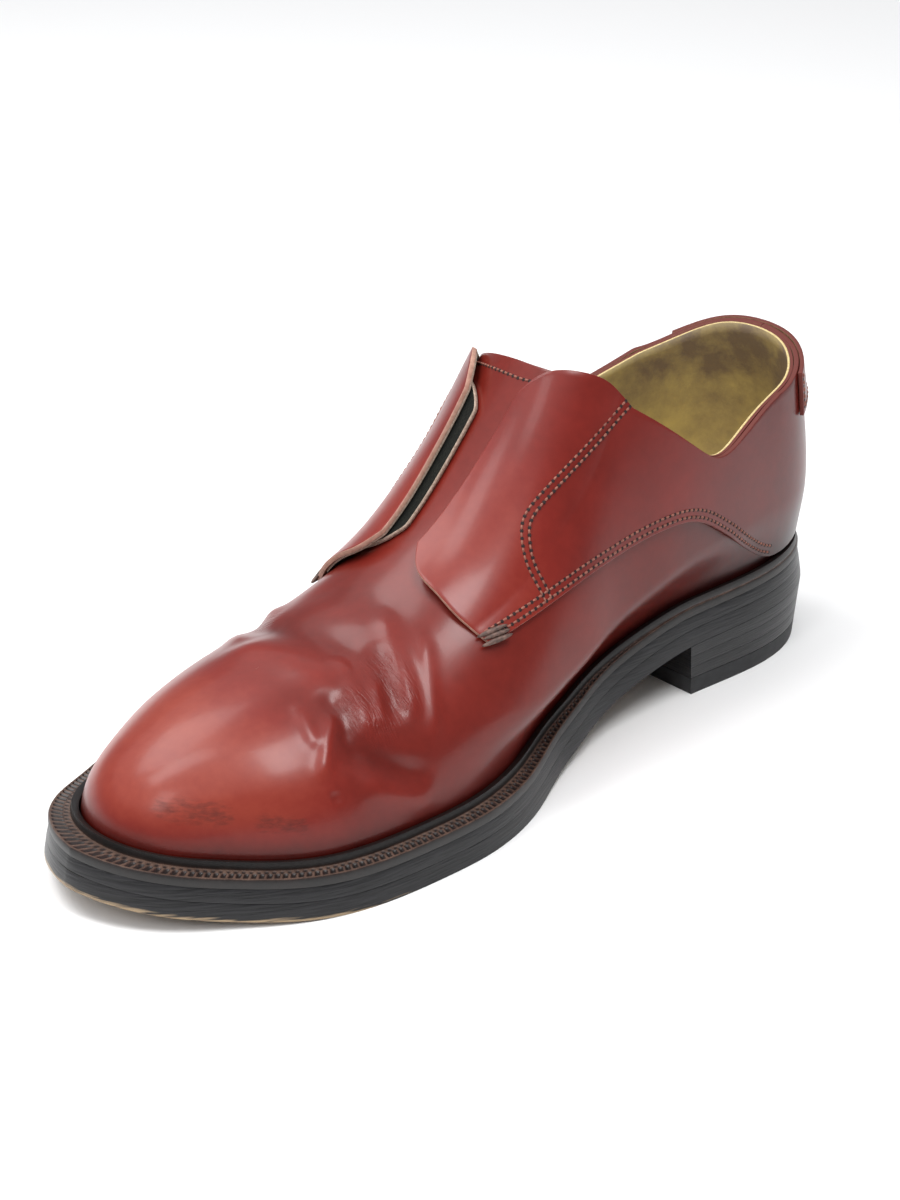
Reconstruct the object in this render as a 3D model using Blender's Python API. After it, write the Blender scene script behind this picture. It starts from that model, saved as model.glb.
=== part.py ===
"""Laceless derby shoe for the right foot, standing empty on its sole.

Metres, +Z up, the toe points along -Y and the medial (inner) side along +X.
The upper is drawn over an imaginary last: a smooth function says for each point whether it lies in
the last, and every curved piece is found by casting rays from the last's axis onto that skin.
A place on the skin is given by three values: the side (+1 medial, -1 lateral), a length share from
the centre of the heel (0) to the tip of the toe (1), and a girth share from the sole's edge (0) up
to the ridge over the instep (1).
"""

import bpy
import bmesh
import numpy as np
from mathutils import Vector

# Last
UPPER_LENGTH = 0.2725
BALL_WIDTH = 0.101
INSTEP_HEIGHT = 0.103
BACK_HEIGHT = 0.070
HEEL_BULGE = 0.0030
HEEL_LEAN = 0.0065
TONGUE_REACH = 0.431

# Sole
HEEL_HEIGHT = 0.0185
HEEL_LENGTH = 0.072
TOE_SPRING = 0.0085
OUTSOLE_THICKNESS = 0.0052
MIDSOLE_THICKNESS = 0.0036
WELT_THICKNESS = 0.0030
WELT_REACH = 0.0131
HEEL_REACH = 0.0049
LIP_HEIGHT = 0.0024
LIP_WIDTH = 0.0022
EDGE_FLARE = 0.0018
TOP_LIFT_THICKNESS = 0.0060
HEEL_TAPER = 0.0015
BREAST_LEAN = 0.0030
INSOLE_THICKNESS = 0.0035

# Leather
UPPER_WALL = 0.0018
QUARTER_WALL = 0.0013
STRAP_WALL = 0.0011
PAD_WALL = 0.0014
STRAP_HEIGHT = 0.014
FLAP_STAND = 0.0032
GAP = 0.0003
CURVED_GAP = 0.0005
INSOLE_CLEARANCE = 0.0008

# Sections of the last. Length share; half widths at the sole as shares of BALL_WIDTH; ridge height
# above the sole as a share of INSTEP_HEIGHT; the ridge's offset to the medial side as a share of
# BALL_WIDTH; how far the wall swells beyond its foot, as shares of the half width; and the roof's
# squareness.
SECTIONS = (
    # length, medial, lateral, ridge, offset, swell_medial, swell_lateral, roof_medial, roof_lateral
    (0.000, 0.000, 0.000, 1.41, 0.000, 0.07, 0.07, 2.2, 2.2),
    (0.068, 0.255, 0.260, 1.40, 0.000, 0.07, 0.07, 2.2, 2.2),
    (0.143, 0.294, 0.328, 1.37, 0.000, 0.10, 0.07, 2.2, 2.2),
    (0.250, 0.284, 0.366, 1.31, 0.000, 0.28, 0.10, 2.4, 2.2),
    (0.330, 0.276, 0.395, 1.20, 0.010, 0.40, 0.12, 2.2, 1.9),
    (0.420, 0.273, 0.443, 1.00, 0.045, 0.50, 0.13, 2.1, 1.4),
    (0.455, 0.294, 0.463, 0.895, 0.052, 0.48, 0.11, 2.1, 1.25),
    (0.500, 0.328, 0.487, 0.775, 0.055, 0.42, 0.08, 2.2, 1.2),
    (0.580, 0.429, 0.518, 0.600, 0.058, 0.19, 0.02, 2.4, 1.25),
    (0.650, 0.489, 0.513, 0.500, 0.055, 0.06, 0.01, 2.3, 1.4),
    (0.720, 0.501, 0.489, 0.440, 0.055, 0.03, 0.02, 2.1, 1.5),
    (0.790, 0.491, 0.423, 0.410, 0.050, 0.03, 0.03, 2.0, 1.7),
    (0.860, 0.438, 0.347, 0.365, 0.045, 0.03, 0.03, 2.1, 1.9),
    (0.920, 0.336, 0.262, 0.295, 0.040, 0.03, 0.03, 2.1, 2.0),
    (0.965, 0.240, 0.180, 0.210, 0.035, 0.03, 0.03, 2.1, 2.1),
    (1.000, 0.030, -0.030, 0.000, 0.030, 0.03, 0.03, 2.1, 2.1),
)
LENGTH, MEDIAL, LATERAL, RIDGE, OFFSET, SWELL_MEDIAL, SWELL_LATERAL, ROOF_MEDIAL, ROOF_LATERAL = range(9)

# Curve of the back, from the sole to above the collar
BACK_CURVE = (
    # share of BACK_HEIGHT, share of HEEL_BULGE backwards, share of HEEL_LEAN forwards
    (0.00, 0.0, 0.0),
    (0.30, 1.0, 0.0),
    (0.65, 0.0, 0.0),
    (1.00, 0.0, 1.0),
    (1.30, 0.0, 1.6),
)

# Reach of the sole beyond the upper, as a share of WELT_REACH
REACH = (
    # length, medial, lateral
    (0.00, 0.38, 0.38),
    (0.25, 0.38, 0.38),
    (0.40, 0.48, 0.42),
    (0.52, 0.62, 0.48),
    (0.62, 0.70, 0.52),
    (0.72, 0.70, 0.55),
    (0.80, 0.70, 0.67),
    (0.90, 0.74, 0.68),
    (0.96, 0.84, 0.80),
    (1.00, 0.98, 0.98),
)

# Height of the collar above the sole, as shares of BACK_HEIGHT
COLLAR = (
    # length, medial, lateral
    (0.000, 1.00, 1.00),
    (0.045, 0.98, 0.98),
    (0.085, 0.92, 0.90),
    (0.138, 0.87, 0.82),
    (0.190, 0.80, 0.76),
    (0.231, 0.76, 0.74),
    (0.270, 0.84, 0.80),
    (0.312, 0.99, 0.94),
    (0.363, 1.18, 1.12),
)
COLLAR_FRONT = 0.363

# Edge of each quarter: length and girth share of the foot and of the top of each of its ribs, from
# the centre of the heel to the inner edge of the flap. A top girth of None follows the collar.
QUARTER = (
    # rib, foot length, foot girth medial and lateral, top length, top girth medial and lateral
    (0.00, 0.000, 0.120, 0.120, 0.000, None, None),
    (0.08, 0.060, 0.120, 0.120, 0.055, None, None),
    (0.15, 0.115, 0.120, 0.120, 0.105, None, None),
    (0.22, 0.165, 0.250, 0.240, 0.150, None, None),
    (0.29, 0.215, 0.385, 0.370, 0.195, None, None),
    (0.36, 0.269, 0.495, 0.445, 0.235, None, None),
    (0.44, 0.335, 0.560, 0.480, 0.275, None, None),
    (0.52, 0.410, 0.613, 0.490, 0.310, None, None),
    (0.60, 0.500, 0.610, 0.468, 0.340, None, None),
    (0.68, 0.598, 0.560, 0.415, 0.363, None, None),
    (0.76, 0.612, 0.680, 0.550, 0.385, 0.865, 0.790),
    (0.84, 0.614, 0.790, 0.680, 0.408, 0.905, 0.845),
    (0.92, 0.610, 0.895, 0.790, 0.430, 0.945, 0.880),
    (1.00, 0.587, 0.970, 0.865, 0.451, 0.967, 0.900),
)
HEEL_RIB = 0.15
SEAM_RIB = 0.68
FLAP_RIB = 0.72

# Pads under the flaps, and the strap at the back: shares of the quarter's ribs, girth and length
PAD_RIB = 0.85
PAD_INSET = 0.09
PAD_SHOW = 0.035
STRAP_REACH = 0.083

WELD = 1e-6
AXIS_HEIGHT = 0.012
LONGEST_RAY = 0.2
HALVINGS = 36
SLOPE_STEP = 2e-4
HEEL_CENTRE = 0.115
TOE_CENTRE = 0.80
WALL_SWELL_START = WELT_THICKNESS + LIP_HEIGHT
WALL_SWELL_END = 0.026

SOLE_LENGTH = HEEL_REACH + UPPER_LENGTH + WELT_REACH
HEEL_END = SOLE_LENGTH / 2 - HEEL_REACH
BREAST_SHARE = HEEL_LENGTH / SOLE_LENGTH
BACK_SEAM = GAP / (np.pi * UPPER_LENGTH)
FLAT_START = 0.56
SPRING_START = 0.78
SEAT_RISE = 0.15

LEATHER = (0.255, 0.045, 0.030)
LINING = (0.42, 0.36, 0.17)
FELT = (0.03, 0.035, 0.025)
EDGE_BLACK = (0.020, 0.018, 0.018)
WELT_BROWN = (0.050, 0.028, 0.022)


def spline(xs, ys, x):
    """Natural cubic spline through the points, read at x."""
    xs, ys = np.asarray(xs, float), np.asarray(ys, float)
    steps = np.diff(xs)
    slopes = np.diff(ys) / steps
    count = len(xs)
    matrix = np.eye(count)
    right = np.zeros(count)
    for i in range(1, count - 1):
        matrix[i, i - 1 : i + 2] = steps[i - 1], 2 * (steps[i - 1] + steps[i]), steps[i]
        right[i] = 6 * (slopes[i] - slopes[i - 1])
    bends = np.linalg.solve(matrix, right)
    x = np.clip(x, xs[0], xs[-1])
    i = np.clip(np.searchsorted(xs, x, side="right") - 1, 0, count - 2)
    a, b = (xs[i + 1] - x) / steps[i], (x - xs[i]) / steps[i]
    curve = (a**3 - a) * bends[i] + (b**3 - b) * bends[i + 1]
    return a * ys[i] + b * ys[i + 1] + curve * steps[i] ** 2 / 6


def smoothstep(x):
    x = np.clip(x, 0, 1)
    return x * x * (3 - 2 * x)


def turn(share):
    """Length share as an angle, so that what closes at an end of the last closes roundly."""
    return np.arccos(1 - 2 * np.clip(share, 0, 1))


def section(column, share):
    table = np.array(SECTIONS)
    return spline(turn(table[:, LENGTH]), table[:, column], turn(share))


def underside(y):
    """Height of the outsole's underside: heel seat, waist, flat tread and toe spring."""
    s = (SOLE_LENGTH / 2 - y) / SOLE_LENGTH
    seat = 1 + SEAT_RISE * (BREAST_SHARE - s) / BREAST_SHARE
    t = np.clip((s - BREAST_SHARE) / (FLAT_START - BREAST_SHARE), 0, 1)
    slope = -SEAT_RISE / BREAST_SHARE * (FLAT_START - BREAST_SHARE)
    waist = 2 * t**3 - 3 * t**2 + 1 + slope * (t**3 - 2 * t**2 + t)
    spring = np.clip((s - SPRING_START) / (1 - SPRING_START), 0, None) ** 2
    return HEEL_HEIGHT * np.where(s < BREAST_SHARE, seat, waist) + TOE_SPRING * spring


def floor_of_upper(y):
    return underside(y) + OUTSOLE_THICKNESS + MIDSOLE_THICKNESS + 2 * GAP


def back_setback(height):
    """How far the back of the heel lies behind its foot at a height above the sole."""
    bulge, lean = np.array(BACK_CURVE)[:, 1:].T
    heights = np.array(BACK_CURVE)[:, 0] * BACK_HEIGHT
    return spline(heights, bulge * HEEL_BULGE - lean * HEEL_LEAN, height)


def outside(point):
    """Below 0 in the last, 0 on its skin, above 0 outside."""
    x, y, z = point[..., 0], point[..., 1], point[..., 2]
    height = z - floor_of_upper(y)
    centre = HEEL_END - HEEL_CENTRE * UPPER_LENGTH
    stretch = (HEEL_END - centre) / (HEEL_END - centre + back_setback(height))
    share = (HEEL_END - np.where(y > centre, centre + (y - centre) * stretch, y)) / UPPER_LENGTH
    past_end = (share < 0) | (share > 1)
    share = np.where(share > 1, 2 - share, abs(share))
    offset = section(OFFSET, share) * BALL_WIDTH
    swell = smoothstep((height - WALL_SWELL_START) / (WALL_SWELL_END - WALL_SWELL_START))
    medial = section(MEDIAL, share) * BALL_WIDTH * (1 + section(SWELL_MEDIAL, share) * swell) - offset
    lateral = section(LATERAL, share) * BALL_WIDTH * (1 + section(SWELL_LATERAL, share) * swell) + offset
    mean, difference = (medial + lateral) / 2, (medial - lateral) / 2
    lean = np.clip((x - offset) / np.maximum(mean, 1e-6), -1, 1)
    lean = lean * (1.5 - 0.5 * lean * lean)
    half = mean + difference * lean
    ridge = np.maximum(section(RIDGE, share) * INSTEP_HEIGHT, 1e-6)
    roofs = section(ROOF_MEDIAL, share), section(ROOF_LATERAL, share)
    roof = (roofs[0] + roofs[1]) / 2 + (roofs[0] - roofs[1]) / 2 * lean
    room = half**2 * (1 - np.clip(height / ridge, 0, None) ** roof)
    return (x - offset) ** 2 - np.where(past_end, -abs(room), room)


def cast(origin, direction):
    """The point where each ray from inside the last leaves its skin."""
    near, far = np.zeros(origin.shape[:-1]), np.full(origin.shape[:-1], LONGEST_RAY)
    for _ in range(HALVINGS):
        middle = (near + far) / 2
        inside = outside(origin + direction * middle[..., None]) < 0
        near, far = np.where(inside, middle, near), np.where(inside, far, middle)
    return origin + direction * near[..., None]


def lifted(points, lift):
    """The points moved off the skin along its normal."""
    steps = SLOPE_STEP * np.eye(3)
    gradient = np.stack([outside(points + step) - outside(points - step) for step in steps], -1)
    size = np.linalg.norm(gradient, axis=-1, keepdims=True)
    return points + gradient / np.maximum(size, 1e-9) * np.asarray(lift)[..., None]


def ray_plane(side, length):
    """Axis point and horizontal direction of the ray plane at a length share."""
    length = np.asarray(length, float)
    station = np.clip(length, HEEL_CENTRE, TOE_CENTRE)
    y = HEEL_END - station * UPPER_LENGTH
    back = np.clip(1 - length / HEEL_CENTRE, 0, 1)
    front = np.clip((length - TOE_CENTRE) / (1 - TOE_CENTRE), 0, 1)
    angle = (back - front) * np.pi / 2
    x = section(OFFSET, station) * BALL_WIDTH
    origin = np.stack([x, y, floor_of_upper(y) + AXIS_HEIGHT], -1)
    flat = np.stack([side * np.cos(angle), np.sin(angle), np.zeros_like(angle)], -1)
    return origin, flat


def at_height(side, length, height, lift=0.0):
    """Point on the wall at a height above the sole."""
    origin, flat = ray_plane(side, length)
    near, far = np.zeros(flat.shape[:-1]), np.full(flat.shape[:-1], LONGEST_RAY)
    height = np.broadcast_to(height, near.shape)

    def spot(distance):
        point = origin + flat * distance[..., None]
        point[..., 2] = floor_of_upper(point[..., 1]) + height
        return point

    for _ in range(HALVINGS):
        middle = (near + far) / 2
        inside = outside(spot(middle)) < 0
        near, far = np.where(inside, middle, near), np.where(inside, far, middle)
    return lifted(spot(near), np.broadcast_to(lift, near.shape))


def elevation(side, length, height):
    """Angle at which the axis sees the point of the wall at this height."""
    origin, flat = ray_plane(side, length)
    away = at_height(side, length, height) - origin
    return np.arctan2(away[..., 2], (away * flat).sum(-1))


def on_skin(side, length, girth, lift=0.0):
    """Point on the skin at a length share and a girth share."""
    length, girth = np.broadcast_arrays(np.asarray(length, float), girth)
    origin, flat = ray_plane(side, length)
    foot = elevation(side, length, 0.0)
    angle = foot + girth * (np.pi / 2 - foot)
    up = np.array([0, 0, 1.0])
    direction = flat * np.cos(angle)[..., None] + up * np.sin(angle)[..., None]
    return lifted(cast(origin, direction), np.broadcast_to(lift, length.shape))


def collar_girth(side, length):
    """Girth share of the collar's edge."""
    table = np.array(COLLAR)
    height = BACK_HEIGHT * spline(table[:, 0], table[:, 1 if side > 0 else 2], length)
    foot = elevation(side, length, 0.0)
    return (elevation(side, length, height) - foot) / (np.pi / 2 - foot)


def edge_girth(side, length):
    """Girth share of the upper's top edge: the collar, then the tongue's arch, then the ridge."""
    length = np.asarray(length, float)
    front = collar_girth(side, np.full_like(length, COLLAR_FRONT))
    t = np.clip((TONGUE_REACH - length) / (TONGUE_REACH - COLLAR_FRONT), 0, 1)
    tongue = 1 - (1 - front) * np.sqrt(t)
    return np.where(length <= COLLAR_FRONT, collar_girth(side, length), tongue)


def material(name, colour, roughness):
    made = bpy.data.materials.new(name)
    made.use_nodes = True
    shader = made.node_tree.nodes["Principled BSDF"]
    shader.inputs["Base Color"].default_value = (*colour, 1)
    shader.inputs["Roughness"].default_value = roughness
    shader.inputs["Metallic"].default_value = 0
    return made


def make_object(name, points, faces, finish, sharp=35):
    mesh = bpy.data.meshes.new(name)
    mesh.from_pydata([tuple(p) for p in points], [], faces)
    work = bmesh.new()
    work.from_mesh(mesh)
    bmesh.ops.remove_doubles(work, verts=work.verts, dist=WELD)
    bmesh.ops.recalc_face_normals(work, faces=work.faces)
    work.to_mesh(mesh)
    work.free()
    mesh.shade_smooth()
    mesh.set_sharp_from_angle(angle=np.radians(sharp))
    mesh.materials.append(finish)
    made = bpy.data.objects.new(name, mesh)
    bpy.context.scene.collection.objects.link(made)
    return made


def grid_faces(rows, columns, first=0, closed=False):
    faces = []
    for r in range(rows - 1):
        for c in range(columns if closed else columns - 1):
            d = (c + 1) % columns
            corner = first + r * columns
            faces.append((corner + c, corner + d, corner + columns + d, corner + columns + c))
    return faces


def shell_object(name, inner, outer, finish):
    """Closed solid between two grids of points of the same size."""
    rows, columns = inner.shape[:2]
    faces = grid_faces(rows, columns)
    faces += [tuple(reversed(f)) for f in grid_faces(rows, columns, rows * columns)]
    rim = [r * columns for r in range(rows)]
    rim += [(rows - 1) * columns + c for c in range(1, columns)]
    rim += [r * columns + columns - 1 for r in range(rows - 2, -1, -1)]
    rim += [c for c in range(columns - 2, 0, -1)]
    for a, b in zip(rim, rim[1:] + rim[:1]):
        faces.append((a, b, b + rows * columns, a + rows * columns))
    points = np.concatenate([inner.reshape(-1, 3), outer.reshape(-1, 3)])
    return make_object(name, points, faces, finish)


def stations():
    """Length shares of the ribs along each side, and how many of them end at the open edge."""
    heel = np.linspace(0, HEEL_CENTRE, 10)
    collar = np.linspace(HEEL_CENTRE, COLLAR_FRONT, 11)[1:]
    tongue = TONGUE_REACH - (TONGUE_REACH - COLLAR_FRONT) * (np.linspace(1, 0, 7)[1:]) ** 2
    vamp = np.linspace(TONGUE_REACH, TOE_CENTRE, 15)[1:]
    toe = np.linspace(TOE_CENTRE, 1, 11)[1:]
    return np.concatenate([heel, collar, tongue, vamp, toe])


def upper_sheet(lift):
    """Points of the upper's two sides, a row for each length share and a column up the girth."""
    lengths = stations()
    rise = np.linspace(0, 1, 14)
    sides = []
    for side in (1, -1):
        top = edge_girth(side, lengths)
        sides.append(on_skin(side, lengths[:, None], top[:, None] * rise, lift))
    return sides


def build_upper(finish):
    outer, inner = upper_sheet(0.0), upper_sheet(-UPPER_WALL)
    rows, columns = outer[0].shape[:2]
    points = np.concatenate([g.reshape(-1, 3) for g in (*outer, *inner)])
    faces = []
    for sheet in range(4):
        for face in grid_faces(rows, columns, sheet * rows * columns):
            faces.append(face if sheet in (0, 3) else tuple(reversed(face)))
    open_ribs = int((stations() <= TONGUE_REACH + 1e-9).sum())
    for sheet in (0, 1):
        first, second = sheet * rows * columns, (sheet + 2) * rows * columns
        for r in range(rows - 1):
            a, b = first + r * columns, first + (r + 1) * columns
            faces.append((a, b, b - first + second, a - first + second))
        for r in range(open_ribs - 1):
            a, b = first + (r + 1) * columns - 1, first + (r + 2) * columns - 1
            faces.append((a, b, b - first + second, a - first + second))
    return make_object("upper", points, faces, finish)


def quarter_place(side, ribs, up):
    """Length and girth shares on the ribs of a quarter, at shares of the way up each rib."""
    foot, top = (2, 5) if side > 0 else (3, 6)
    rows = []
    for row in QUARTER:
        top_girth = float(collar_girth(side, np.array(row[4]))) if row[top] is None else row[top]
        rows.append((row[0], row[1], row[foot], row[4], top_girth))
    table = np.array(rows)
    corner = int(np.argmin(abs(table[:, 0] - SEAM_RIB)))
    behind, before = table[: corner + 1], table[corner:]
    columns = []
    for k in (1, 2, 3, 4):
        back = spline(behind[:, 0], behind[:, k], ribs)
        front = spline(before[:, 0], before[:, k], ribs)
        columns.append(np.where(ribs < SEAM_RIB, back, front)[:, None])
    foot_length, foot_girth, top_length, top_girth = columns
    return foot_length * (1 - up) + top_length * up, foot_girth * (1 - up) + top_girth * up


def flap_lift(ribs):
    free = np.clip((ribs - FLAP_RIB) / (1 - FLAP_RIB), 0, 1)
    return FLAP_STAND * free * (2 - free)


def build_quarter(name, side, finish):
    heel = np.linspace(0, HEEL_RIB, 13)
    wall = np.linspace(HEEL_RIB, SEAM_RIB, 18)[1:]
    ribs = np.concatenate([heel, wall, np.linspace(SEAM_RIB, 1, 11)[1:]])
    up = np.linspace(0, 1, 9)[None, :]
    length, girth = quarter_place(side, ribs, up)
    length = np.maximum(length, BACK_SEAM)
    lift = CURVED_GAP + flap_lift(ribs)[:, None] + 0 * up
    inner = on_skin(side, length, girth, lift)
    outer = on_skin(side, length, girth, lift + QUARTER_WALL)
    return shell_object(name, inner, outer, finish)


def build_pad(name, side, finish):
    """Felt pad between the flap and the tongue; its inner edge shows past the flap."""
    ribs = np.linspace(PAD_RIB, 1, 7)
    up = np.linspace(PAD_INSET, 1 - PAD_INSET, 9)[None, :]
    length, girth = quarter_place(side, ribs, up)
    girth = girth + PAD_SHOW * ((ribs - PAD_RIB) / (1 - PAD_RIB))[:, None]
    inner = on_skin(side, length, girth, CURVED_GAP)
    outer = on_skin(side, length, girth, CURVED_GAP + PAD_WALL)
    return shell_object(name, inner, outer, finish)


def build_strap(finish):
    """Strap sewn across the back of the collar, over both quarters."""
    lengths = np.linspace(0, STRAP_REACH, 9)
    low = CURVED_GAP + QUARTER_WALL + CURVED_GAP
    sheets = []
    for lift in (low, low + STRAP_WALL):
        sides = []
        for side in (1, -1):
            table = np.array(COLLAR)
            collar = BACK_HEIGHT * spline(table[:, 0], table[:, 1 if side > 0 else 2], lengths)
            height = collar[:, None] - STRAP_HEIGHT * np.linspace(1, 0, 5)
            sides.append(at_height(side, lengths[:, None] + 0 * height, height, lift))
        sheets.append(np.concatenate([sides[0][::-1], sides[1][1:]]))
    return shell_object("back_strap", *sheets, finish)


def outline(level_reach):
    """Loop of plan points round the shoe, its reach beyond the upper given by a function."""
    lengths = stations()
    medial = at_height(1, lengths, 0.0)
    lateral = at_height(-1, lengths, 0.0)
    loop = np.concatenate([medial, lateral[-2:0:-1]])[:, :2]
    share = np.concatenate([lengths, lengths[-2:0:-1]])
    along = np.roll(loop, -1, 0) - np.roll(loop, 1, 0)
    along /= np.linalg.norm(along, axis=1, keepdims=True)
    out = np.stack([-along[:, 1], along[:, 0]], 1)
    centre = loop.mean(0)
    out *= np.sign(((loop - centre) * out).sum(1).sum())
    medial_side = np.arange(len(loop)) < len(lengths)
    return loop + out * level_reach(share, medial_side)[:, None]


def reach(share, medial_side):
    table = np.array(REACH)
    columns = [spline(table[:, 0], table[:, k], share) for k in (1, 2)]
    return WELT_REACH * np.where(medial_side, *columns)


def plate(name, levels, finish):
    """Closed plate through loops of plan points, each with a height function of y."""
    rings = []
    for plan, height in levels:
        rings.append(np.column_stack([plan, height(plan[:, 1])]))
    count = len(rings[0])
    half = count // 2 + 1
    points = np.concatenate(rings)
    faces = grid_faces(len(rings), count, closed=True)
    for ring, flip in ((0, True), (len(rings) - 1, False)):
        first = ring * count
        for i in range(half - 1):
            a, b = first + i, first + i + 1
            c, d = first + (count - i - 1) % count, first + (count - i) % count
            face = [a, b, c, d]
            face = [v for k, v in enumerate(face) if v not in face[:k]]
            faces.append(tuple(reversed(face)) if flip else tuple(face))
    return make_object(name, points, faces, finish)


def edge_line(inset):
    """Plan outline of the sole, drawn in by a distance."""
    return outline(lambda share, medial_side: reach(share, medial_side) - inset)


def above_sole(height):
    """Height function of y, for a level that follows the outsole's underside."""
    return lambda y: underside(y) + height


def level(height):
    return lambda y: np.full_like(y, height)


def build_sole(black):
    full, waist, edge = edge_line(0.0), edge_line(0.5 * EDGE_FLARE), edge_line(EDGE_FLARE)
    low = OUTSOLE_THICKNESS + GAP
    plate("outsole", [(full, above_sole(0.0)), (waist, above_sole(OUTSOLE_THICKNESS))], black)
    plate("midsole", [(waist, above_sole(low)), (edge, above_sole(low + MIDSOLE_THICKNESS))], black)


def build_welt(finish):
    """Storm welt: a flat shelf round the upper with a raised lip along its inner edge."""
    lengths = stations()
    low, shelf, top = GAP, WELT_THICKNESS, WELT_THICKNESS + LIP_HEIGHT
    edge = edge_line(EDGE_FLARE)
    ledge = outline(lambda share, _: np.full_like(share, LIP_WIDTH + CURVED_GAP))

    def inner(height):
        medial = at_height(1, lengths, height, CURVED_GAP)
        lateral = at_height(-1, lengths, height, CURVED_GAP)
        return np.concatenate([medial, lateral[-2:0:-1]])

    def flat(plan, height):
        return np.column_stack([plan, floor_of_upper(plan[:, 1]) + height])

    inner_low, inner_top = inner(low), inner(top)
    inner_low[:, 2] = floor_of_upper(inner_low[:, 1])
    rings = [inner_low, flat(edge, 0.0), flat(edge, shelf), flat(ledge, shelf), flat(ledge, top)]
    rings.append(inner_top)
    count = len(edge)
    points = np.concatenate(rings)
    faces = grid_faces(len(rings), count, closed=True)
    last = (len(rings) - 1) * count
    for i in range(count):
        j = (i + 1) % count
        faces.append((last + i, last + j, j, i))
    return make_object("welt", points, faces, finish)


def build_insole(finish):
    lengths = stations()
    levels = []
    for height in (0.0, INSOLE_THICKNESS):
        medial = at_height(1, lengths, height, -UPPER_WALL - INSOLE_CLEARANCE)
        lateral = at_height(-1, lengths, height, -UPPER_WALL - INSOLE_CLEARANCE)
        loop = np.concatenate([medial, lateral[-2:0:-1]])[:, :2]
        levels.append((loop, above_sole(OUTSOLE_THICKNESS + MIDSOLE_THICKNESS + 2 * GAP + height)))
    return plate("insole", levels, finish)


def cut_breast(made):
    """Cuts a heel layer off at the leaning front face of the heel."""
    work = bmesh.new()
    work.from_mesh(made.data)
    breast = SOLE_LENGTH / 2 - HEEL_LENGTH
    normal = Vector((0, -1, -BREAST_LEAN / HEEL_HEIGHT)).normalized()
    geometry = work.verts[:] + work.edges[:] + work.faces[:]
    cut = bmesh.ops.bisect_plane(
        work, geom=geometry, dist=WELD, plane_co=(0, breast, 0), plane_no=normal, clear_outer=True
    )
    edges = [e for e in cut["geom_cut"] if isinstance(e, bmesh.types.BMEdge)]
    bmesh.ops.holes_fill(work, edges=edges, sides=0)
    bmesh.ops.recalc_face_normals(work, faces=work.faces)
    work.to_mesh(made.data)
    work.free()


def build_heel(black):
    """Stack of heel layers with its top lift below, tapering towards the floor."""
    share = TOP_LIFT_THICKNESS / HEEL_HEIGHT
    low, middle, high = edge_line(HEEL_TAPER), edge_line(HEEL_TAPER * (1 - share)), edge_line(0.0)
    plates = (
        ("heel_top_lift", [(low, level(0.0)), (middle, level(TOP_LIFT_THICKNESS))]),
        ("heel_stack", [(middle, level(TOP_LIFT_THICKNESS + GAP)), (high, above_sole(-GAP))]),
    )
    for name, levels in plates:
        cut_breast(plate(name, levels, black))


def centre_all():
    """Puts the origin under the middle of the whole shoe."""
    corners = [o.matrix_world @ v.co for o in bpy.data.objects if o.type == "MESH" for v in o.data.vertices]
    low = Vector((min(c[k] for c in corners) for k in range(3)))
    high = Vector((max(c[k] for c in corners) for k in range(3)))
    for made in bpy.data.objects:
        made.location = (-(low.x + high.x) / 2, -(low.y + high.y) / 2, -low.z)


def main():
    for old in list(bpy.data.objects):
        bpy.data.objects.remove(old)
    leather = material("polished calf leather", LEATHER, 0.28)
    sock = material("leather sock", LINING, 0.6)
    felt = material("pile faced felt", FELT, 0.9)
    black = material("blackened leather edge", EDGE_BLACK, 0.35)
    brown = material("wheeled leather welt", WELT_BROWN, 0.45)
    build_upper(leather)
    build_quarter("quarter_medial", 1, leather)
    build_quarter("quarter_lateral", -1, leather)
    build_pad("under_flap_medial", 1, felt)
    build_pad("under_flap_lateral", -1, felt)
    build_strap(leather)
    build_insole(sock)
    build_welt(brown)
    build_sole(black)
    build_heel(black)
    centre_all()


main()
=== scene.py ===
import bmesh
import bpy
import numpy as np
from mathutils import Matrix, Vector


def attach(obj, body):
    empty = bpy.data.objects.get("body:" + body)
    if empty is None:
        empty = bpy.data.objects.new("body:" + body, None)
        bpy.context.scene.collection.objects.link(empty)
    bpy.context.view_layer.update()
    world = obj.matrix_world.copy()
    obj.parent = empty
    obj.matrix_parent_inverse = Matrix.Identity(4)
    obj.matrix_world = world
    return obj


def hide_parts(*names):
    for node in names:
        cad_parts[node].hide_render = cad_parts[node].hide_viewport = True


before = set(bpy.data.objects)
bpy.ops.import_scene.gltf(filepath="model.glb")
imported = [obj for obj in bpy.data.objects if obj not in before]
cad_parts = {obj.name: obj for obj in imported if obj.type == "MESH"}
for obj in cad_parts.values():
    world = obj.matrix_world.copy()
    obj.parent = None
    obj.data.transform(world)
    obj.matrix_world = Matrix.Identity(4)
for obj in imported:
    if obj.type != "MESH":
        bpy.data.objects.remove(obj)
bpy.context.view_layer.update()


# Studio
# A white paper floor under soft boxes, as for a catalogue picture, some of them hung where the toe and the
# flap mirror them. The camera stands in front of the shoe's inner side and looks down at it.
def linear(code):
    """Linear colour of an sRGB hex code."""
    shares = [int(code[i : i + 2], 16) / 255 for i in (0, 2, 4)]
    return tuple(c / 12.92 if c <= 0.04045 else ((c + 0.055) / 1.055) ** 2.4 for c in shares) + (1.0,)


def connect(tree, node, inputs):
    """Sets a node's inputs to values or links. Another node stands for its first output."""
    for socket, value in inputs.items():
        value = value.outputs[0] if isinstance(value, bpy.types.Node) else value
        if isinstance(value, bpy.types.NodeSocket):
            tree.links.new(value, node.inputs[socket])
        else:
            node.inputs[socket].default_value = value
    return node


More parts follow.
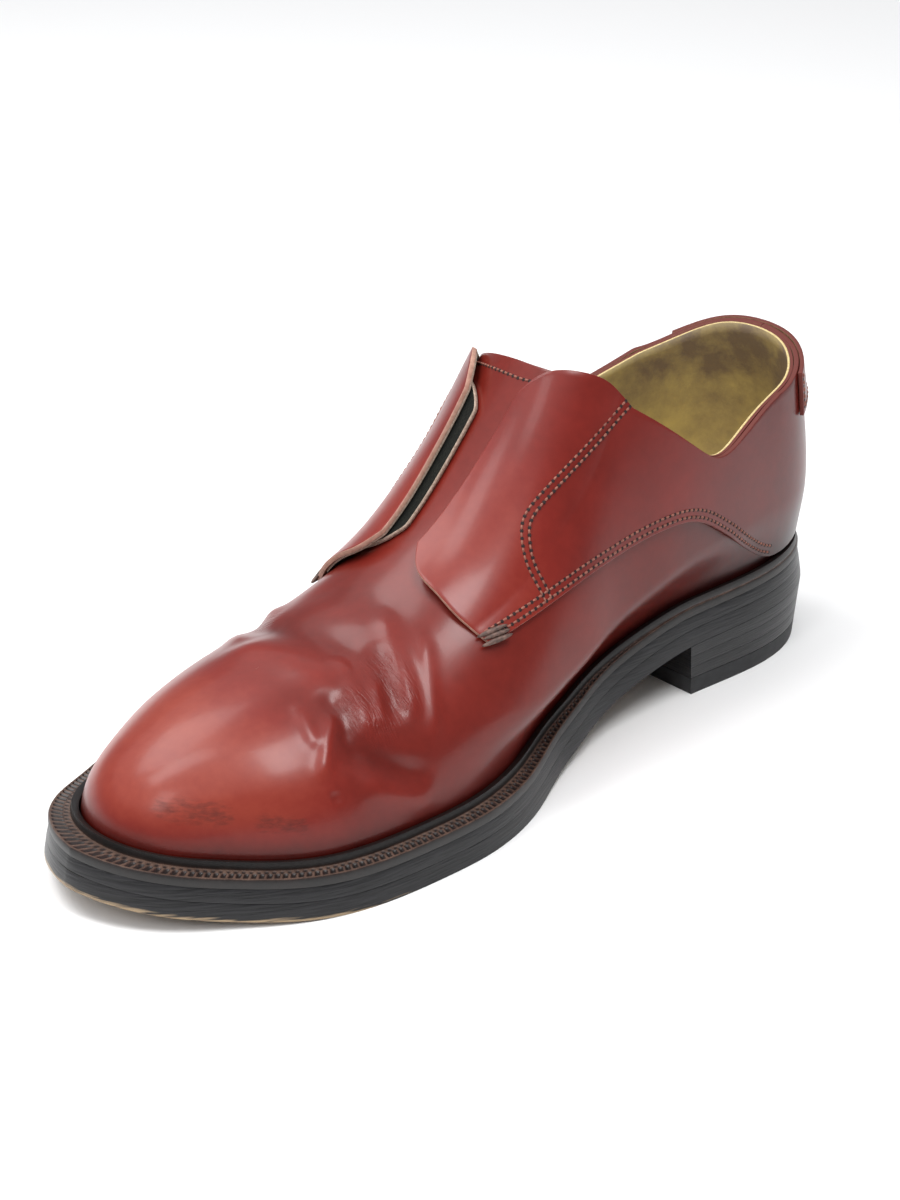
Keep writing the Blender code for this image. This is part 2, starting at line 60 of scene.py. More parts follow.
def add(tree, kind, inputs=None, **settings):
    """Adds a node with its settings and inputs."""
    made = tree.nodes.new("ShaderNode" + kind)
    for name, value in settings.items():
        setattr(made, name, value)
    return connect(tree, made, inputs or {})


def new_material(name, **values):
    """Material with its node tree and shader, whose sockets take the values of the same name."""
    made = bpy.data.materials.new(name)
    made.use_nodes = True
    shader = made.node_tree.nodes["Principled BSDF"]
    connect(made.node_tree, shader, {socket.replace("_", " "): value for socket, value in values.items()})
    return made, made.node_tree, shader


FLOOR_HALF_WIDTH = 9.0
scene = bpy.context.scene
scene.view_settings.view_transform = "Standard"

# Uncoated paper scatters light evenly, so the floor is pale and has no highlight
paper, _, _ = new_material("white paper, matt", Base_Color=linear("F4F4F4"), Roughness=0.9)
work = bmesh.new()
bmesh.ops.create_grid(work, x_segments=1, y_segments=1, size=FLOOR_HALF_WIDTH)
floor_mesh = bpy.data.meshes.new("floor")
work.to_mesh(floor_mesh)
work.free()
floor = bpy.data.objects.new("floor", floor_mesh)
floor.data.materials.append(paper)
scene.collection.objects.link(floor)

sky = bpy.data.worlds.new("studio")
sky.use_nodes = True
sky.node_tree.nodes["Background"].inputs["Color"].default_value = linear("F4F6FA")
sky.node_tree.nodes["Background"].inputs["Strength"].default_value = 0.30
scene.world = sky


def soft_box(name, place, target, size, watts):
    """Rectangular lamp that faces a target."""
    lamp = bpy.data.lights.new(name, "AREA")
    lamp.shape = "RECTANGLE"
    lamp.size, lamp.size_y = size
    lamp.energy = watts
    made = bpy.data.objects.new(name, lamp)
    made.location = place
    made.rotation_euler = (Vector(target) - Vector(place)).to_track_quat("-Z", "Y").to_euler()
    scene.collection.objects.link(made)


SOFT_BOXES = (
    # name, place, target, width and length, watts
    ("soft_box", (-0.50, -0.25, 0.95), (0, 0, 0.03), (0.6, 0.5), 4.8),
    ("top_box", (0.40, -0.10, 0.95), (0, -0.03, 0.05), (0.28, 0.42), 5.0),
    ("flap_strip", (-0.12, -0.48, 0.95), (0.02, -0.01, 0.08), (0.20, 0.45), 2.4),
    ("front_strip", (0.30, -1.0, 0.85), (0, -0.05, 0.03), (0.25, 0.5), 2.6),
)
for row in SOFT_BOXES:
    soft_box(*row)
# Light that the white ceiling throws back, from nearly all over the sky
BOUNCE_STRENGTH, BOUNCE_ANGLE, BOUNCE_TILT = 1.6, 1.9, (0.15, -0.2, 0.0)
sun = bpy.data.lights.new("ceiling_bounce", "SUN")
sun.energy, sun.angle = BOUNCE_STRENGTH, BOUNCE_ANGLE
bounce = bpy.data.objects.new("ceiling_bounce", sun)
bounce.rotation_euler = BOUNCE_TILT
scene.collection.objects.link(bounce)

EYE = (0.48467, -0.44965, 0.36879)
AIM = (0.0020, -0.0035, 0.0470)
ROLL = 0.0105
LENS = 74.0
view = bpy.data.cameras.new("camera")
view.sensor_width, view.lens = 36.0, LENS
camera = bpy.data.objects.new("camera", view)
camera.location = EYE
turned = (Vector(AIM) - Vector(EYE)).to_track_quat("-Z", "Y").to_matrix().to_4x4()
camera.rotation_euler = (turned @ Matrix.Rotation(ROLL, 4, "Z")).to_euler()
scene.collection.objects.link(camera)
scene.camera = camera


# Vamp and tongue
# One piece of polished calf leather, lasted over the toe and running up as the tongue under the flaps.
# It is creased across the ball from walking. The form of the last below, in metres, serves every piece.
UPPER_LENGTH, BALL_WIDTH, INSTEP_HEIGHT, BACK_HEIGHT = 0.2725, 0.101, 0.103, 0.070
HEEL_BULGE, HEEL_LEAN, TONGUE_REACH = 0.0030, 0.0065, 0.431
HEEL_HEIGHT, HEEL_LENGTH, TOE_SPRING = 0.0185, 0.072, 0.0085
OUTSOLE_THICKNESS, MIDSOLE_THICKNESS, WELT_THICKNESS = 0.0052, 0.0036, 0.0030
WELT_REACH, HEEL_REACH, LIP_HEIGHT, GAP, CURVED_GAP = 0.0131, 0.0049, 0.0024, 0.0003, 0.0005
QUARTER_WALL = 0.0013
AXIS_HEIGHT, HEEL_CENTRE, TOE_CENTRE = 0.012, 0.115, 0.80
WALL_SWELL_START, WALL_SWELL_END = WELT_THICKNESS + LIP_HEIGHT, 0.026
SOLE_LENGTH = HEEL_REACH + UPPER_LENGTH + WELT_REACH
HEEL_END = SOLE_LENGTH / 2 - HEEL_REACH
BREAST_SHARE = HEEL_LENGTH / SOLE_LENGTH
FLAT_START, SPRING_START, SEAT_RISE = 0.56, 0.78, 0.15
# From the frame of the last to the frame of model.glb, whose origin is the middle of the shoe
CENTRE = np.array((-0.00034, -0.00022, 0.0))

# Sections of the last: shares of BALL_WIDTH and INSTEP_HEIGHT, wall swell and squareness of the roof
SECTIONS = np.array((
    # length, medial, lateral, ridge, offset, swell_medial, swell_lateral, roof_medial, roof_lateral
    (0.000, 0.000, 0.000, 1.41, 0.000, 0.07, 0.07, 2.2, 2.2),
    (0.068, 0.255, 0.260, 1.40, 0.000, 0.07, 0.07, 2.2, 2.2),
    (0.143, 0.294, 0.328, 1.37, 0.000, 0.10, 0.07, 2.2, 2.2),
    (0.250, 0.284, 0.366, 1.31, 0.000, 0.28, 0.10, 2.4, 2.2),
    (0.330, 0.276, 0.395, 1.20, 0.010, 0.40, 0.12, 2.2, 1.9),
    (0.420, 0.273, 0.443, 1.00, 0.045, 0.50, 0.13, 2.1, 1.4),
    (0.455, 0.294, 0.463, 0.895, 0.052, 0.48, 0.11, 2.1, 1.25),
    (0.500, 0.328, 0.487, 0.775, 0.055, 0.42, 0.08, 2.2, 1.2),
    (0.580, 0.429, 0.518, 0.600, 0.058, 0.19, 0.02, 2.4, 1.25),
    (0.650, 0.489, 0.513, 0.500, 0.055, 0.06, 0.01, 2.3, 1.4),
    (0.720, 0.501, 0.489, 0.440, 0.055, 0.03, 0.02, 2.1, 1.5),
    (0.790, 0.491, 0.423, 0.410, 0.050, 0.03, 0.03, 2.0, 1.7),
    (0.860, 0.438, 0.347, 0.365, 0.045, 0.03, 0.03, 2.1, 1.9),
    (0.920, 0.336, 0.262, 0.295, 0.040, 0.03, 0.03, 2.1, 2.0),
    (0.965, 0.240, 0.180, 0.210, 0.035, 0.03, 0.03, 2.1, 2.1),
    (1.000, 0.030, -0.030, 0.000, 0.030, 0.03, 0.03, 2.1, 2.1),
))
BACK_CURVE = np.array((
    # share of BACK_HEIGHT, of HEEL_BULGE backwards, of HEEL_LEAN forwards
    (0.00, 0.0, 0.0),
    (0.30, 1.0, 0.0),
    (0.65, 0.0, 0.0),
    (1.00, 0.0, 1.0),
    (1.30, 0.0, 1.6),
))
COLLAR_FRONT = 0.363
COLLAR = np.array((
    # length, height medial and lateral as shares of BACK_HEIGHT
    (0.000, 1.00, 1.00),
    (0.045, 0.98, 0.98),
    (0.085, 0.92, 0.90),
    (0.138, 0.87, 0.82),
    (0.190, 0.80, 0.76),
    (0.231, 0.76, 0.74),
    (0.270, 0.84, 0.80),
    (0.312, 0.99, 0.94),
    (COLLAR_FRONT, 1.18, 1.12),
))


def spline(xs, ys, x):
    """Natural cubic spline through the points, read at x."""
    xs, ys = np.asarray(xs, float), np.asarray(ys, float)
    steps = np.diff(xs)
    slopes = np.diff(ys) / steps
    count = len(xs)
    matrix, right = np.eye(count), np.zeros(count)
    for i in range(1, count - 1):
        matrix[i, i - 1 : i + 2] = steps[i - 1], 2 * (steps[i - 1] + steps[i]), steps[i]
        right[i] = 6 * (slopes[i] - slopes[i - 1])
    bends = np.linalg.solve(matrix, right)
    x = np.clip(x, xs[0], xs[-1])
    i = np.clip(np.searchsorted(xs, x, side="right") - 1, 0, count - 2)
    a, b = (xs[i + 1] - x) / steps[i], (x - xs[i]) / steps[i]
    curve = (a**3 - a) * bends[i] + (b**3 - b) * bends[i + 1]
    return a * ys[i] + b * ys[i + 1] + curve * steps[i] ** 2 / 6


def smoothstep(x):
    """Soft step from 0 to 1."""
    x = np.clip(x, 0, 1)
    return x * x * (3 - 2 * x)


FINE_TURN = np.linspace(0, np.pi, 1201)
FINE_SECTIONS = [spline(np.arccos(1 - 2 * SECTIONS[:, 0]), SECTIONS[:, k], FINE_TURN) for k in range(1, 9)]


def sections_at(share):
    """All columns of the sections at a length share."""
    turn = np.arccos(1 - 2 * np.clip(share, 0, 1))
    return [np.interp(turn, FINE_TURN, column) for column in FINE_SECTIONS]


def underside(y):
    """Height of the outsole's underside: heel seat, waist, flat tread and toe spring."""
    s = (SOLE_LENGTH / 2 - y) / SOLE_LENGTH
    seat = 1 + SEAT_RISE * (BREAST_SHARE - s) / BREAST_SHARE
    t = np.clip((s - BREAST_SHARE) / (FLAT_START - BREAST_SHARE), 0, 1)
    slope = -SEAT_RISE / BREAST_SHARE * (FLAT_START - BREAST_SHARE)
    waist = 2 * t**3 - 3 * t**2 + 1 + slope * (t**3 - 2 * t**2 + t)
    spring = np.clip((s - SPRING_START) / (1 - SPRING_START), 0, None) ** 2
    return HEEL_HEIGHT * np.where(s < BREAST_SHARE, seat, waist) + TOE_SPRING * spring


def floor_of_upper(y):
    """Height at which the upper and the welt stand, just above the midsole."""
    return underside(y) + OUTSOLE_THICKNESS + MIDSOLE_THICKNESS + 2 * GAP


FINE_HEIGHT = np.linspace(-0.02, 0.12, 701)
BACK_HEIGHTS = BACK_CURVE[:, 0] * BACK_HEIGHT
BACK_SETBACKS = BACK_CURVE[:, 1] * HEEL_BULGE - BACK_CURVE[:, 2] * HEEL_LEAN
FINE_SETBACK = spline(BACK_HEIGHTS, BACK_SETBACKS, FINE_HEIGHT)


def outside(point):
    """Below 0 in the last, 0 on its skin, above 0 outside."""
    x, y, z = point[..., 0], point[..., 1], point[..., 2]
    height = z - floor_of_upper(y)
    centre = HEEL_END - HEEL_CENTRE * UPPER_LENGTH
    setback = np.interp(height, FINE_HEIGHT, FINE_SETBACK)
    stretch = (HEEL_END - centre) / (HEEL_END - centre + setback)
    share = (HEEL_END - np.where(y > centre, centre + (y - centre) * stretch, y)) / UPPER_LENGTH
    past_end = (share < 0) | (share > 1)
    share = np.where(share > 1, 2 - share, abs(share))
    medial, lateral, ridge, offset, swell_m, swell_l, roof_m, roof_l = sections_at(share)
    offset = offset * BALL_WIDTH
    swell = smoothstep((height - WALL_SWELL_START) / (WALL_SWELL_END - WALL_SWELL_START))
    medial = medial * BALL_WIDTH * (1 + swell_m * swell) - offset
    lateral = lateral * BALL_WIDTH * (1 + swell_l * swell) + offset
    mean, difference = (medial + lateral) / 2, (medial - lateral) / 2
    lean = np.clip((x - offset) / np.maximum(mean, 1e-6), -1, 1)
    lean = lean * (1.5 - 0.5 * lean * lean)
    half = mean + difference * lean
    ridge = np.maximum(ridge * INSTEP_HEIGHT, 1e-6)
    roof = (roof_m + roof_l) / 2 + (roof_m - roof_l) / 2 * lean
    room = half**2 * (1 - np.clip(height / ridge, 0, None) ** roof)
    return (x - offset) ** 2 - np.where(past_end, -abs(room), room)


SLOPE_STEP, SEARCH_REACH, HALVINGS = 2e-4, 0.2, 26


def slope_at(points):
    """Change of the outside value across a small step along each axis."""
    steps = SLOPE_STEP * np.eye(3)
    return np.stack([outside(points + step) - outside(points - step) for step in steps], -1)


def normals_at(points):
    """Outward normals of the skin."""
    slope = slope_at(points)
    return slope / np.maximum(np.linalg.norm(slope, axis=-1, keepdims=True), 1e-9)


def lifted(points, lift):
    """The points moved off the skin along its normal."""
    return points + normals_at(points) * np.asarray(lift)[..., None]


def search(place, shape):
    """Points on the skin, found by halving along rays whose point at a distance is given by place."""
    near, far = np.zeros(shape), np.full(shape, SEARCH_REACH)
    for _ in range(HALVINGS):
        middle = (near + far) / 2
        inside = outside(place(middle)) < 0
        near, far = np.where(inside, middle, near), np.where(inside, far, middle)
    return place(near)


def ray_plane(side, length):
    """Start and level direction of the rays at a length share: across the shoe, fanned round its ends."""
    length = np.asarray(length, float)
    station = np.clip(length, HEEL_CENTRE, TOE_CENTRE)
    y = HEEL_END - station * UPPER_LENGTH
    back = np.clip(1 - length / HEEL_CENTRE, 0, 1)
    front = np.clip((length - TOE_CENTRE) / (1 - TOE_CENTRE), 0, 1)
    angle = (back - front) * np.pi / 2
    x = sections_at(station)[3] * BALL_WIDTH
    origin = np.stack([x, y, floor_of_upper(y) + AXIS_HEIGHT], -1)
    flat = np.stack([side * np.cos(angle), np.sin(angle), np.zeros_like(angle)], -1)
    return origin, flat


def at_height(side, length, height, lift=0.0):
    """Point on the wall at a height above the sole."""
    length, height = np.broadcast_arrays(np.asarray(length, float), height)
    origin, flat = ray_plane(side, length)

    def place(distance):
        point = origin + flat * distance[..., None]
        point[..., 2] = floor_of_upper(point[..., 1]) + height
        return point

    return lifted(search(place, length.shape), np.broadcast_to(lift, length.shape))


def elevation(side, length, height):
    """Angle above level, seen from the rays' start, of the wall's point at a height."""
    origin, flat = ray_plane(side, length)
    away = at_height(side, length, height) - origin
    return np.arctan2(away[..., 2], (away * flat).sum(-1))


def on_skin(side, length, girth, lift=0.0):
    """Point on the skin at a length share and a girth share."""
    length, girth = np.broadcast_arrays(np.asarray(length, float), girth)
    origin, flat = ray_plane(side, length)
    foot = elevation(side, length, 0.0)
    angle = foot + girth * (np.pi / 2 - foot)
    direction = flat * np.cos(angle)[..., None] + np.array([0, 0, 1.0]) * np.sin(angle)[..., None]
    points = search(lambda distance: origin + direction * distance[..., None], length.shape)
    return lifted(points, np.broadcast_to(lift, length.shape))


def collar_girth(side, length):
    """Girth share of the collar line."""
    height = BACK_HEIGHT * spline(COLLAR[:, 0], COLLAR[:, 1 if side > 0 else 2], length)
    foot = elevation(side, length, 0.0)
    return (elevation(side, length, height) - foot) / (np.pi / 2 - foot)


def edge_girth(side, length):
    """Girth share of the upper's top edge: the collar, then the tongue's arch, then the ridge."""
    length = np.asarray(length, float)
    front = collar_girth(side, np.full_like(length, COLLAR_FRONT))
    t = np.clip((TONGUE_REACH - length) / (TONGUE_REACH - COLLAR_FRONT), 0, 1)
    return np.where(length <= COLLAR_FRONT, collar_girth(side, length), 1 - (1 - front) * np.sqrt(t))


# Creases of the vamp in mm: from one point to another, half width, height (negative for a trough)
CREASES = (
    # x1, y1, z1, x2, y2, z2, half_width, height
    (12, -39, 59, 40, -52, 41, 2.7, 1.2),
    (26, -36, 56, 46, -49, 35, 2.2, 0.9),
    (20, -49, 55, 40, -57, 42, 3.3, -1.2),
    (16, -59, 53, 38, -66, 40, 2.4, 1.0),
    (28, -56, 49, 39, -62, 41, 2.0, 0.7),
    (24, -70, 49, 38, -73, 39, 3.2, -1.0),
    (22, -79, 47, 35, -82, 40, 2.5, 0.7),
    (30, -72, 46, 40, -85, 33, 2.2, 1.1),
    (36, -77, 40, 52, -54, 26, 4.2, -2.1),
    (44, -76, 30, 54, -52, 19, 4.5, 1.0),
    (-14, -73, 49, 26, -67, 49, 6.0, 1.1),
    (-22, -60, 50, 24, -54, 54, 6.5, -1.4),
    (-20, -38, 58, 24, -36, 58, 7.0, -0.8),
    # two small nicks
    (42.5, -84.0, 29.0, 44.5, -81.5, 28.5, 1.3, -0.8),
    (50.0, -68.5, 24.5, 51.0, -66.0, 23.5, 1.3, -0.8),
    # outer side
    (-14, -69, 49, -44, -50, 28, 3.4, 1.0),
    (-16, -61, 50, -46, -40, 29, 4.0, -1.4),
    (-24, -49, 49, -48, -32, 30, 3.4, 0.9),
    (-30, -76, 38, -52, -52, 19, 4.5, -1.4),
)
# Places in mm where the grain has broken into fine wrinkles, and where the toe is scuffed
WRINKLES = (
    # x1, y1, z1, x2, y2, z2, half_width
    (22, -50, 54, 40, -53, 42, 4.5),
    (26, -66, 48, 42, -61, 37, 4.5),
    (-18, -56, 50, -40, -44, 33, 5.0),
)
SCUFFS = (
    (12, -125, 29, 36, -107, 28, 5.5),
    (34, -106, 26, 45, -90, 23, 4.0),
    (-14, -118, 28, -26, -106, 24, 3.5),
)


def near_line(points, row):
    """Share from 1 on a row's line to 0 away from it, soft at its ends."""
    start, end, width = np.array(row[0:3]), np.array(row[3:6]), row[6]
    along = end - start
    length = np.linalg.norm(along)
    t = ((points - start) @ along) / length**2
    away = np.linalg.norm(points - start - np.clip(t, 0, 1)[..., None] * along, axis=-1)
    ends = smoothstep(t / 0.3 + 0.25) * smoothstep((1 - t) / 0.3 + 0.25)
    return np.exp(-((away / width) ** 2)) * ends


def creased(points):
    """Height of the creases at points of the skin, in metres."""
    mm = (points + CENTRE) * 1000
    return sum(near_line(mm, row[:7]) * row[7] for row in CREASES) / 1000


def grid_piece(name, rows, columns, place, materials, merge=2e-5):
    """Sheet made of a grid whose points are placed by a function of their shares along and across it."""
    work = bmesh.new()
    bmesh.ops.create_grid(work, x_segments=rows - 1, y_segments=columns - 1, size=0.5)
    u = np.array([v.co.x + 0.5 for v in work.verts])
    v = np.array([v.co.y + 0.5 for v in work.verts])
    points = place(u, v)
    for vert, point in zip(work.verts, points + CENTRE):
        vert.co = point
    bmesh.ops.remove_doubles(work, verts=work.verts, dist=merge)
    bmesh.ops.dissolve_degenerate(work, edges=work.edges, dist=1e-6)
    bmesh.ops.recalc_face_normals(work, faces=work.faces)
    return finish_piece(name, work, materials)


def finish_piece(name, work, materials):
    """Makes a bmesh a smooth object with sharp edges kept, which rides on the shoe's only body."""
    mesh = bpy.data.meshes.new(name)
    work.to_mesh(mesh)
    work.free()
    mesh.shade_smooth()
    mesh.set_sharp_from_angle(angle=np.radians(50))
    for finish in materials:
        mesh.materials.append(finish)
    made = bpy.data.objects.new(name, mesh)
    scene.collection.objects.link(made)
    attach(made, "root")
    return made


def thicken(piece, thickness, bevel=0.0002):
    """Gives a sheet its thickness inwards: the second material is its back, the third its cut edge."""
    count = len(piece.data.materials) - 1
    wall = piece.modifiers.new("wall", "SOLIDIFY")
    wall.thickness, wall.offset, wall.use_rim = thickness, -1.0, True
    wall.material_offset, wall.material_offset_rim = min(1, count), min(2, count)
    if bevel:
        edge = piece.modifiers.new("edge", "BEVEL")
        edge.width, edge.segments, edge.limit_method, edge.angle_limit = bevel, 2, "ANGLE", np.radians(60)


def face_outwards(piece, centre):
    """Turns a sheet's faces away from a point in its middle."""
    outward = sum(face.normal.dot(face.center - Vector(centre)) * face.area for face in piece.data.polygons)
    if outward < 0:
        piece.data.flip_normals()


def mark(piece, name, values):
    """Gives each vertex a value that a material reads by name."""
    layer = piece.data.attributes.new(name, "FLOAT", "POINT")
    layer.data.foreach_set("value", np.asarray(values, np.float32))


def places_of(piece):
    """The vertices in the frame of the last."""
    points = np.empty(len(piece.data.vertices) * 3, np.float32)
    piece.data.vertices.foreach_get("co", points)
    return points.reshape(-1, 3).astype(float) - CENTRE


def set_stops(ramp, first, last, *between):
    """Gives a colour ramp its stops, each a place from 0 to 1 and an sRGB hex code."""
    for stop, (place, code) in zip(ramp.color_ramp.elements, (first, last)):
        stop.position, stop.color = place, linear(code)
    for place, code in between:
        ramp.color_ramp.elements.new(place).color = linear(code)


def polished_calf(name, dark, middle, light, gloss):
    """Aniline calf under wax polish: the colour is deep and uneven, and highlights are soft but bright."""
    made, tree, shader = new_material(
        name, IOR=1.45, Specular_IOR_Level=0.32, Coat_Weight=0.14, Coat_Roughness=0.14
    )
    place = add(tree, "TexCoord").outputs["Object"]
    # Dye that took unevenly: clouds about 22 mm wide and mottling of about 2.4 mm, added to each place's
    # tone, which on the vamp and quarters also holds painted highlight and shade
    tone = add(tree, "Attribute", attribute_name="tone").outputs["Fac"]
    clouds = add(tree, "TexNoise", {"Vector": place, "Scale": 45.0, "Detail": 5.0, "Roughness": 0.6})
    mottle = add(tree, "TexNoise", {"Vector": place, "Scale": 420.0, "Detail": 3.0})
    mixed = add(tree, "Math", {0: clouds, 1: 0.34, 2: tone}, operation="MULTIPLY_ADD")
    mixed = add(tree, "Math", {0: mottle, 1: 0.12, 2: mixed}, operation="MULTIPLY_ADD")
    ramp = add(tree, "ValToRGB", {"Fac": add(tree, "Math", {0: mixed, 1: -0.23}, operation="ADD")})
    set_stops(ramp, (0.0, dark), (1.0, light), (0.5, middle))
    # Scuffs: scratches drawn out in one direction, which darken the leather and take its shine
    scuff = add(tree, "Attribute", attribute_name="scuff").outputs["Fac"]
    drawn_out = {"Vector": place, "Scale": (60.0, 420.0, 1300.0), "Rotation": (0.3, 0.2, 0.6)}
    drawn_out = add(tree, "Mapping", drawn_out)
    scratches = add(tree, "TexNoise", {"Vector": drawn_out, "Scale": 1.0, "Detail": 4.0, "Roughness": 0.7})
    worn = add(tree, "Math", {0: scratches, 1: scuff}, operation="MULTIPLY")
    worn = add(tree, "MapRange", {"Value": worn, "From Min": 0.33, "From Max": 0.62, "To Max": 0.7})
    colour = add(tree, "Mix", {"Factor": worn, 6: ramp, 7: linear("471A14")}, data_type="RGBA").outputs[2]
    haze = add(tree, "MapRange", {"Value": clouds, "To Min": gloss - 0.05, "To Max": gloss + 0.08})
    rough = add(tree, "Math", {0: worn, 1: 0.25, 2: haze}, operation="MULTIPLY_ADD")
    # Pores about 0.6 mm apart, coarser than the real ones, and wrinkles about 1.4 mm apart in broken grain
    pores = add(tree, "TexNoise", {"Vector": place, "Scale": 1500.0, "Detail": 1.0})
    folds = {"Vector": place, "Scale": (170.0, 900.0, 170.0), "Rotation": (0.0, 0.0, 0.35)}
    folds = add(tree, "Mapping", folds)
    folds = add(tree, "TexNoise", {"Vector": folds, "Scale": 1.0, "Detail": 3.0, "Distortion": 1.2})
    wrinkle = add(tree, "Attribute", attribute_name="wrinkle").outputs["Fac"]
    broken = add(tree, "Math", {0: folds, 1: wrinkle}, operation="MULTIPLY")
    fine = add(tree, "Bump", {"Height": pores, "Strength": 0.04, "Distance": 0.0002})
    deep = add(tree, "Bump", {"Height": broken, "Strength": 0.6, "Distance": 0.0010, "Normal": fine})
    connect(tree, shader, {"Base Color": colour, "Roughness": rough, "Normal": deep})
    return made


def mottled(name, dark, light, scale, relief, ends=(0.3, 0.7), detail=4.0, strength=0.5, **values):
    """Dull surface whose colour wavers between two tones, with the same grain in low relief."""
    made, tree, shader = new_material(name, **values)
    place = add(tree, "TexCoord").outputs["Object"]
    grain = add(tree, "TexNoise", {"Vector": place, "Scale": scale, "Detail": detail})
    ramp = add(tree, "ValToRGB", {"Fac": grain})
    set_stops(ramp, (ends[0], dark), (ends[1], light))
    connect(tree, shader, {"Base Color": ramp})
    if relief:
        bumped = add(tree, "Bump", {"Height": grain, "Strength": strength, "Distance": relief})
        connect(tree, shader, {"Normal": bumped})
    return made


vamp_leather = polished_calf("calf leather, polished", "2B0604", "74221A", "9E4A38", 0.30)
# Cut calf shows its fibres in clumps of about 1.4 mm: pale where it was left raw, dark where it was inked
raw_edge, tree, shader = new_material(
    "cut leather edge, raw in front and stained at the collar", Roughness=0.7
)
place = add(tree, "TexCoord").outputs["Object"]
backwards = add(tree, "SeparateXYZ", {"Vector": place}).outputs["Y"]
stained = add(tree, "MapRange", {"Value": backwards, "From Min": 0.022, "From Max": 0.042})
nap = add(tree, "TexNoise", {"Vector": place, "Scale": 700.0, "Detail": 3.0})
ramp = add(tree, "ValToRGB", {"Fac": nap})
set_stops(ramp, (0.0, "8A5E50"), (1.0, "CDA491"))
colour = add(tree, "Mix", {"Factor": stained, 6: ramp, 7: linear("5C2118")}, data_type="RGBA").outputs[2]
connect(tree, shader, {"Base Color": colour})
# Fibres about 0.7 mm across: cut goat leather is pale and dull, and the calf's back is a brown nap
lining_edge = mottled("lining leather, cut edge", "B59D68", "DAC591", 1500.0, 0.0001, Roughness=0.7)
flesh = mottled("calf leather, flesh side", "654730", "8E6D50", 900.0, 0.0002, Roughness=0.85)

VAMP_WALL = 0.0010


def tongue_arch(count):
    """Length shares along the tongue's arch, close together at the ridge."""
    return TONGUE_REACH - (TONGUE_REACH - COLLAR_FRONT) * np.linspace(1, 0, count)[1:] ** 2


def both_sides(name, knots, columns, place_at, materials):
    """Sheet of the upper: two halves with rows at the knots' length shares, joined along the ridge."""
    work = bmesh.new()
    for side in (1, -1):
        tops = edge_girth(side, knots)

        def place(u, v):
            steps = u * (len(knots) - 1)
            length = np.interp(steps, np.arange(len(knots)), knots)
            return place_at(side, length, np.interp(steps, np.arange(len(knots)), tops), v)

        half = grid_piece(name + "_half", len(knots), columns, place, materials)
        work.from_mesh(half.data)
        bpy.data.objects.remove(half)
    bmesh.ops.remove_doubles(work, verts=work.verts, dist=3e-5)
    bmesh.ops.recalc_face_normals(work, faces=work.faces)
    return finish_piece(name, work, materials)


def vamp_place(side, length, top, v):
    points = on_skin(side, length, top * v)
    return lifted(points, creased(points))


vamp_knots = np.concatenate([
    np.linspace(0, HEEL_CENTRE, 25),
    np.linspace(HEEL_CENTRE, COLLAR_FRONT, 33)[1:],
    tongue_arch(25),
    np.linspace(TONGUE_REACH, TOE_CENTRE, 125)[1:],
    np.linspace(TOE_CENTRE, 1, 61)[1:],
])
vamp = both_sides("vamp", vamp_knots, 80, vamp_place, (vamp_leather, flesh, raw_edge))
face_outwards(vamp, (0, -0.03, 0.03))
spots = places_of(vamp)
mm = (spots + CENTRE) * 1000
above = (spots[:, 2] - floor_of_upper(spots[:, 1])) * 1000
# Tone: lighter towards the toe and darker at the upper's foot; painted highlight on the creases' ridges and
# painted shade in their troughs; painted shade towards the heel
toe_light = smoothstep((-72 - mm[:, 1]) / 34) * smoothstep((above - 3) / 16)
foot_dark = np.exp(-((above - 2) / 6.0) ** 2)
back_painted_shade = smoothstep((mm[:, 1] - 10) / 90)
tone = 0.40 + 0.27 * toe_light - 0.34 * foot_dark + 70 * creased(spots) - 0.24 * back_painted_shade
mark(vamp, "tone", np.clip(tone, 0, 1))
mark(vamp, "wrinkle", np.clip(sum(near_line(mm, row) for row in WRINKLES), 0, 1))
mark(vamp, "scuff", np.clip(sum(near_line(mm, row) for row in SCUFFS), 0, 1))
thicken(vamp, VAMP_WALL)
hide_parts("upper")

# Lining
# Undyed yellow goat leather glued inside the back of the shoe, worn grey and brown by the heel.
# It is cut in two parts, with a vertical join on each side.
LINING_WALL, LINING_GAP = 0.0007, 0.00008
# Wear clouds the leather from yellow to grey and brown, in patches about 26 mm wide with a faint sheen
lining_leather, tree, shader = new_material("lining leather, worn", Roughness=0.55, IOR=1.5)
place = add(tree, "TexCoord").outputs["Object"]
grime = add(tree, "TexNoise", {"Vector": place, "Scale": 38.0, "Detail": 6.0, "Roughness": 0.65})
worn_by_heel = add(tree, "Attribute", attribute_name="worn").outputs["Fac"]
rubbed = add(tree, "Math", {0: worn_by_heel, 1: 0.22}, operation="ADD")
dirt = add(tree, "Math", {0: grime, 1: rubbed}, operation="MULTIPLY")
ramp = add(tree, "ValToRGB", {"Fac": dirt})
set_stops(ramp, (0.06, "D2BC6E"), (0.62, "72604D"), (0.36, "AE9A62"))
creasing = add(tree, "TexNoise", {"Vector": place, "Scale": 520.0, "Detail": 4.0})
bumped = add(tree, "Bump", {"Height": creasing, "Strength": 0.35, "Distance": 0.0004})
connect(tree, shader, {"Base Color": ramp, "Normal": bumped})


def lining_place(side, length, top, v):
    return on_skin(side, length, top * (0.02 + 0.98 * v), -VAMP_WALL - LINING_GAP)


lining_knots = np.concatenate([
    np.linspace(0, COLLAR_FRONT, 60),
    tongue_arch(16),
    np.linspace(TONGUE_REACH, 0.62, 16)[1:],
])
lining = both_sides("lining", lining_knots, 40, lining_place, (lining_leather, lining_leather, lining_edge))
face_outwards(lining, (0, 0.05, 0.06))
spots = places_of(lining)
heel_rub = smoothstep((spots[:, 1] - 0.052) / 0.03) * (0.6 + 0.6 * smoothstep((spots[:, 2] - 0.05) / 0.04))
join = smoothstep((spots[:, 1] - 0.058) / 0.0015)
mark(lining, "worn", 0.45 * heel_rub + 0.33 * join)
thicken(lining, LINING_WALL, 0.0)

